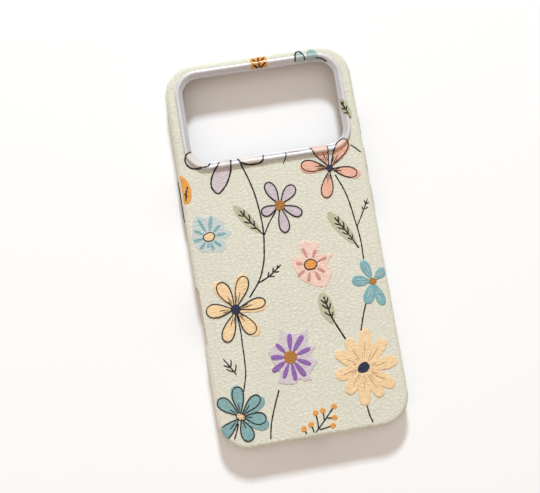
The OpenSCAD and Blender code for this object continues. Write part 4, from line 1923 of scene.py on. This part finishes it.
@dataclass(frozen=True)
class SideButton:
    """One side button: a metal cap whose rim is painted light as a reflection, its soft plunger and the ring
    that lines its window.
    """

    name: str
    crown: float = 0.08
    base_cut: float = 0.1
    rim_r: float = 0.16
    rim_in: float = 0.22
    rim_drop: float = 0.12
    face_drop: float = 0.02
    face_share: float = 0.96
    rim_bands: tuple[int, int] = (2, 8)
    step_z: float = 0.18
    pad_margin: float = 0.8
    pad_share: float = 0.45
    pad_w: float = 1.7
    gasket_w: float = 0.35
    gasket_lip: float = 0.15
    spacing: float = 0.22
    gasket_spacing: float = 0.25

    def _placed(self, shape: Shape, box: NodeBox) -> Shape:
        """Turns a shape from (along, up, outwards) to the button's side wall."""
        p = shape.points
        points = np.column_stack([box.side * p[:, 2], box.middle[1] + box.side * p[:, 0],
                                  box.middle[2] + p[:, 1]])
        return Shape(points, shape.faces, None, shape.marks)

    def _loft(self, outline: RoundedRect, rows: Array, marks: Optional[Array] = None) -> Shape:
        """Closed solid through grown copies of an outline. Each row is a growth and a height.

        Args:
            outline: the slot-shaped outline.
            rows: from the inner end to the outer end.
            marks: material number of each band between rows.

        Returns:
            The solid, closed by a flat face at each end.
        """
        path, normal = outline.walk(self.spacing)
        n = len(path)
        flat = path[None] + normal[None] * rows[:, :1, None]
        z = np.broadcast_to(rows[:, 1:, None], (*flat.shape[:2], 1))
        points = np.concatenate([flat, z], axis=2).reshape(-1, 3)
        faces = [grid_faces(len(rows), n, False, True), np.arange(n)[None, ::-1],
                 (len(rows) - 1) * n + np.arange(n)[None]]
        groups = None
        if marks is not None:
            groups = [np.repeat(marks, n), marks[:1], marks[-1:]]
        return Shape(points, faces, None, groups)

    def make(self) -> list[Piece]:
        """Makes the button's three pieces."""
        return [self.cap(), self.plunger(), self.gasket()]

    def cap(self) -> Piece:
        """Metal cap: straight sides, a glossy rim whose light colour is a painted reflection of bright
        surroundings, and a slightly crowned dark face.
        """
        box = NodeBox.of(self.name + "_cap")
        base, top = box.reach
        turn = np.linspace(0, QUARTER, 6)
        r = self.rim_r
        crown = np.linspace(0, 1, 8)[1:]
        face = -r - self.rim_in
        shoulder = top - self.crown - self.rim_drop - r + r * np.sin(turn)
        rows = np.concatenate([
            [[-self.base_cut, base], [0.0, base + self.base_cut]],
            np.stack([r * (np.cos(turn) - 1), shoulder], axis=1),
            [[face, top - self.crown - self.face_drop]],
            np.stack([face - crown * (box.half[2] + face) * self.face_share,
                      top - self.crown + self.crown * (1 - (1 - crown) ** 2)], axis=1),
        ])
        marks = np.zeros(len(rows) - 1, int)
        # The rim's bands take the light finish: a painted reflection.
        marks[slice(*self.rim_bands)] = 1
        shape = self._placed(self._loft(face_outline(box), rows, marks), box)
        shape.marks[2] = np.array([0])
        piece = make_object(self.name + "_cap_metal", shape, [BUTTON_FACE, BUTTON_RIM_REFLECTION], 30.0)
        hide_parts(self.name + "_cap")
        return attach(piece, self.name + "_button")

    def plunger(self) -> Piece:
        """Soft plunger: a rounded pad on a thin flange."""
        box = NodeBox.of(self.name + "_plunger")
        low, high = box.reach
        pad = slot_outline(0, 0, 2 * (box.half[1] - self.pad_margin) * self.pad_share, self.pad_w, False)
        step = low + self.step_z
        flange_rows = np.array([[-0.12, step], [0.0, step + 0.1], [0.0, high - 0.03], [-0.03, high]])
        pad_rows = np.array([[-0.2, low], [-0.08, low + 0.03], [0.0, low + 0.12], [0.0, step + 0.02]])
        disc = self._loft(face_outline(box), flange_rows)
        bump = self._loft(pad, pad_rows)
        shape = self._placed(disc.joined(bump), box)
        piece = make_object(self.name + "_plunger_soft", shape, [PLUNGER_RUBBER], 40.0)
        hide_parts(self.name + "_plunger")
        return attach(piece, self.name + "_button")

    def gasket(self) -> Piece:
        """Soft ring between the cap and the leather, with a rounded outer lip."""
        box = NodeBox.of(self.name + "_gasket")
        low, high = box.reach
        width, brink = self.gasket_w, high - self.gasket_lip
        inner = face_outline(box, -2 * width)
        section = np.concatenate([
            [[0.0, low], [0.0, brink]], arc(width / 2, brink, width / 2, 180, 0, 6)[1:-1],
            [[width, brink], [width, low]]])
        section[:, 1] = np.minimum(section[:, 1], high)
        shape = self._placed(sweep(inner, section[::-1], self.gasket_spacing), box)
        piece = make_object(self.name + "_gasket_soft", shape, [GASKET_RUBBER], 40.0)
        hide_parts(self.name + "_gasket")
        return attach(piece, CASE)


@dataclass(frozen=True)
class HiddenParts:
    """Parts whose CAD shape stays: the rigid plate and the tape under the ring."""

    def dress(self) -> None:
        """Gives each its material."""
        for node, finish in (("back_plate", PLATE_PLASTIC), ("ring_tape", TAPE_FOAM)):
            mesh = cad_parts[node].data
            mesh.materials.clear()
            mesh.materials.append(finish.material())
            report(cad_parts[node])


# ---------------- stage


@dataclass(frozen=True)
class Lamp:
    """Square soft light aimed at the case: its place and side in metres, and its power in watts."""

    name: str
    spot: Spot
    height: float
    size: float
    watts: float
    colour: Colour

    def make(self) -> None:
        """Makes the light, turned to shine at the case's middle."""
        data = bpy.data.lights.new(self.name, "AREA")
        data.size, data.energy, data.color = self.size, self.watts, self.colour
        lamp = bpy.data.objects.new(self.name, data)
        at = Vector((self.spot[0], self.spot[1], self.height))
        lamp.matrix_world = Matrix.Translation(at) @ at.to_track_quat("Z", "Y").to_matrix().to_4x4()
        bpy.context.scene.collection.objects.link(lamp)


LAMPS = (
    Lamp("key", (0.15, 2.2), height=1.78, size=0.34, watts=64.0, colour=(0.86, 0.95, 1.0)),
    Lamp("fill", (-0.7, -0.5), height=1.0, size=0.9, watts=1.2, colour=(1.0, 0.86, 0.74)),
    Lamp("top", (0.0, 0.0), height=1.5, size=1.0, watts=3.4, colour=(1.0, 0.95, 0.92)),
)


@dataclass(frozen=True)
class Studio:
    """Pale floor, soft lights and the camera."""

    pitch_deg: float = -6.73
    yaw_deg: float = 4.0
    roll_deg: float = 9.59
    distance: float = 450.0
    aim: tuple[float, float] = (6.35, 0.89)
    aim_z: float = 6.0
    lens: float = 69.06
    floor: float = 3.0
    sensor: float = 36.0
    sky_colour: Colour = (1.0, 0.82, 0.68)
    sky_strength: float = 0.45

    def camera(self) -> None:
        """Camera above the back.

        The view turns by yaw about Y, then by pitch about X, then by roll about the line of sight.
        """
        turn = (Matrix.Rotation(math.radians(self.roll_deg), 3, "Z")
                @ Matrix.Rotation(math.radians(self.pitch_deg), 3, "X")
                @ Matrix.Rotation(math.radians(self.yaw_deg), 3, "Y")).transposed()
        data = bpy.data.cameras.new("camera")
        data.lens, data.sensor_width, data.sensor_fit = self.lens, self.sensor, "HORIZONTAL"
        data.clip_start, data.clip_end = 0.01, 20.0
        camera = bpy.data.objects.new("camera", data)
        spot = turn @ Vector((-self.aim[0], -self.aim[1], self.distance)) + Vector((0, 0, self.aim_z))
        camera.matrix_world = Matrix.Translation(spot * MM) @ turn.to_4x4()
        bpy.context.scene.collection.objects.link(camera)
        bpy.context.scene.camera = camera

    def make(self) -> None:
        """Makes the floor, the lights, the sky and the camera."""
        half = self.floor / 2 / MM
        corners = np.array([[-half, -half, 0.0], [half, -half, 0.0], [half, half, 0.0], [-half, half, 0.0]])
        floor = make_object("floor", Shape(corners, [np.array([[0, 1, 2, 3]])]), [FLOOR_PAPER])
        for lamp in LAMPS:
            lamp.make()
        world = bpy.data.worlds.new("sky")
        world.use_nodes = True
        sky = world.node_tree.nodes["Background"]
        sky.inputs["Color"].default_value = (*self.sky_colour, 1.0)
        sky.inputs["Strength"].default_value = self.sky_strength
        bpy.context.scene.world = world
        bpy.context.scene.view_settings.view_transform = "Standard"
        self.camera()


# ---------------- main


def main() -> None:
    """Builds every piece in order."""
    logging.basicConfig(level=logging.INFO, format="%(name)s %(message)s")
    cover, ring, lining = (NodeBox.of(n) for n in ("leather_cover", "camera_ring", "microfibre_lining"))
    cap, plate = NodeBox.of("power_cap"), NodeBox.of("back_plate")
    crease = RoundedRect(cover.half[0], cover.half[1], BUILD.corner_r).grown(-BUILD.edge_r)
    pocket = RoundedRect(lining.half[0], lining.half[1], BUILD.corner_r - BUILD.frame_wall - BUILD.cover_t)
    ring_edge = RoundedRect(ring.half[0], ring.half[1], BUILD.window_r + BUILD.ring_w, 0.0, ring.middle[1])
    window = ring_edge.grown(-BUILD.ring_w)
    surface = CoverSurface(crease, BUILD.edge_r, cover.high[2], Grain())
    ring_top = RingSurface(window, BUILD.ring_w, cover.high[2] - BUILD.ring_sink,
                           ring.high[2] - BUILD.print_room)

    Studio().make()
    report(LeatherCover(surface, ring_edge, cover.low[2], cap.middle[2]).make())
    report(SoftFrame(pocket, plate.low[2], plate.high[2], cover.low[2], cap.middle[2]).make())
    report(Lining(pocket, window, lining.low[2], lining.high[2]).make())
    report(CameraRing(ring_top, ring.low[2], plate.high[2] + BUILD.tape_t).make())
    for name in BUTTONS:
        for piece in SideButton(name).make():
            report(piece)
    HiddenParts().dress()
    FlowerPrint(BackView(surface, ring_top)).make()


if __name__ == "__main__":
    main()
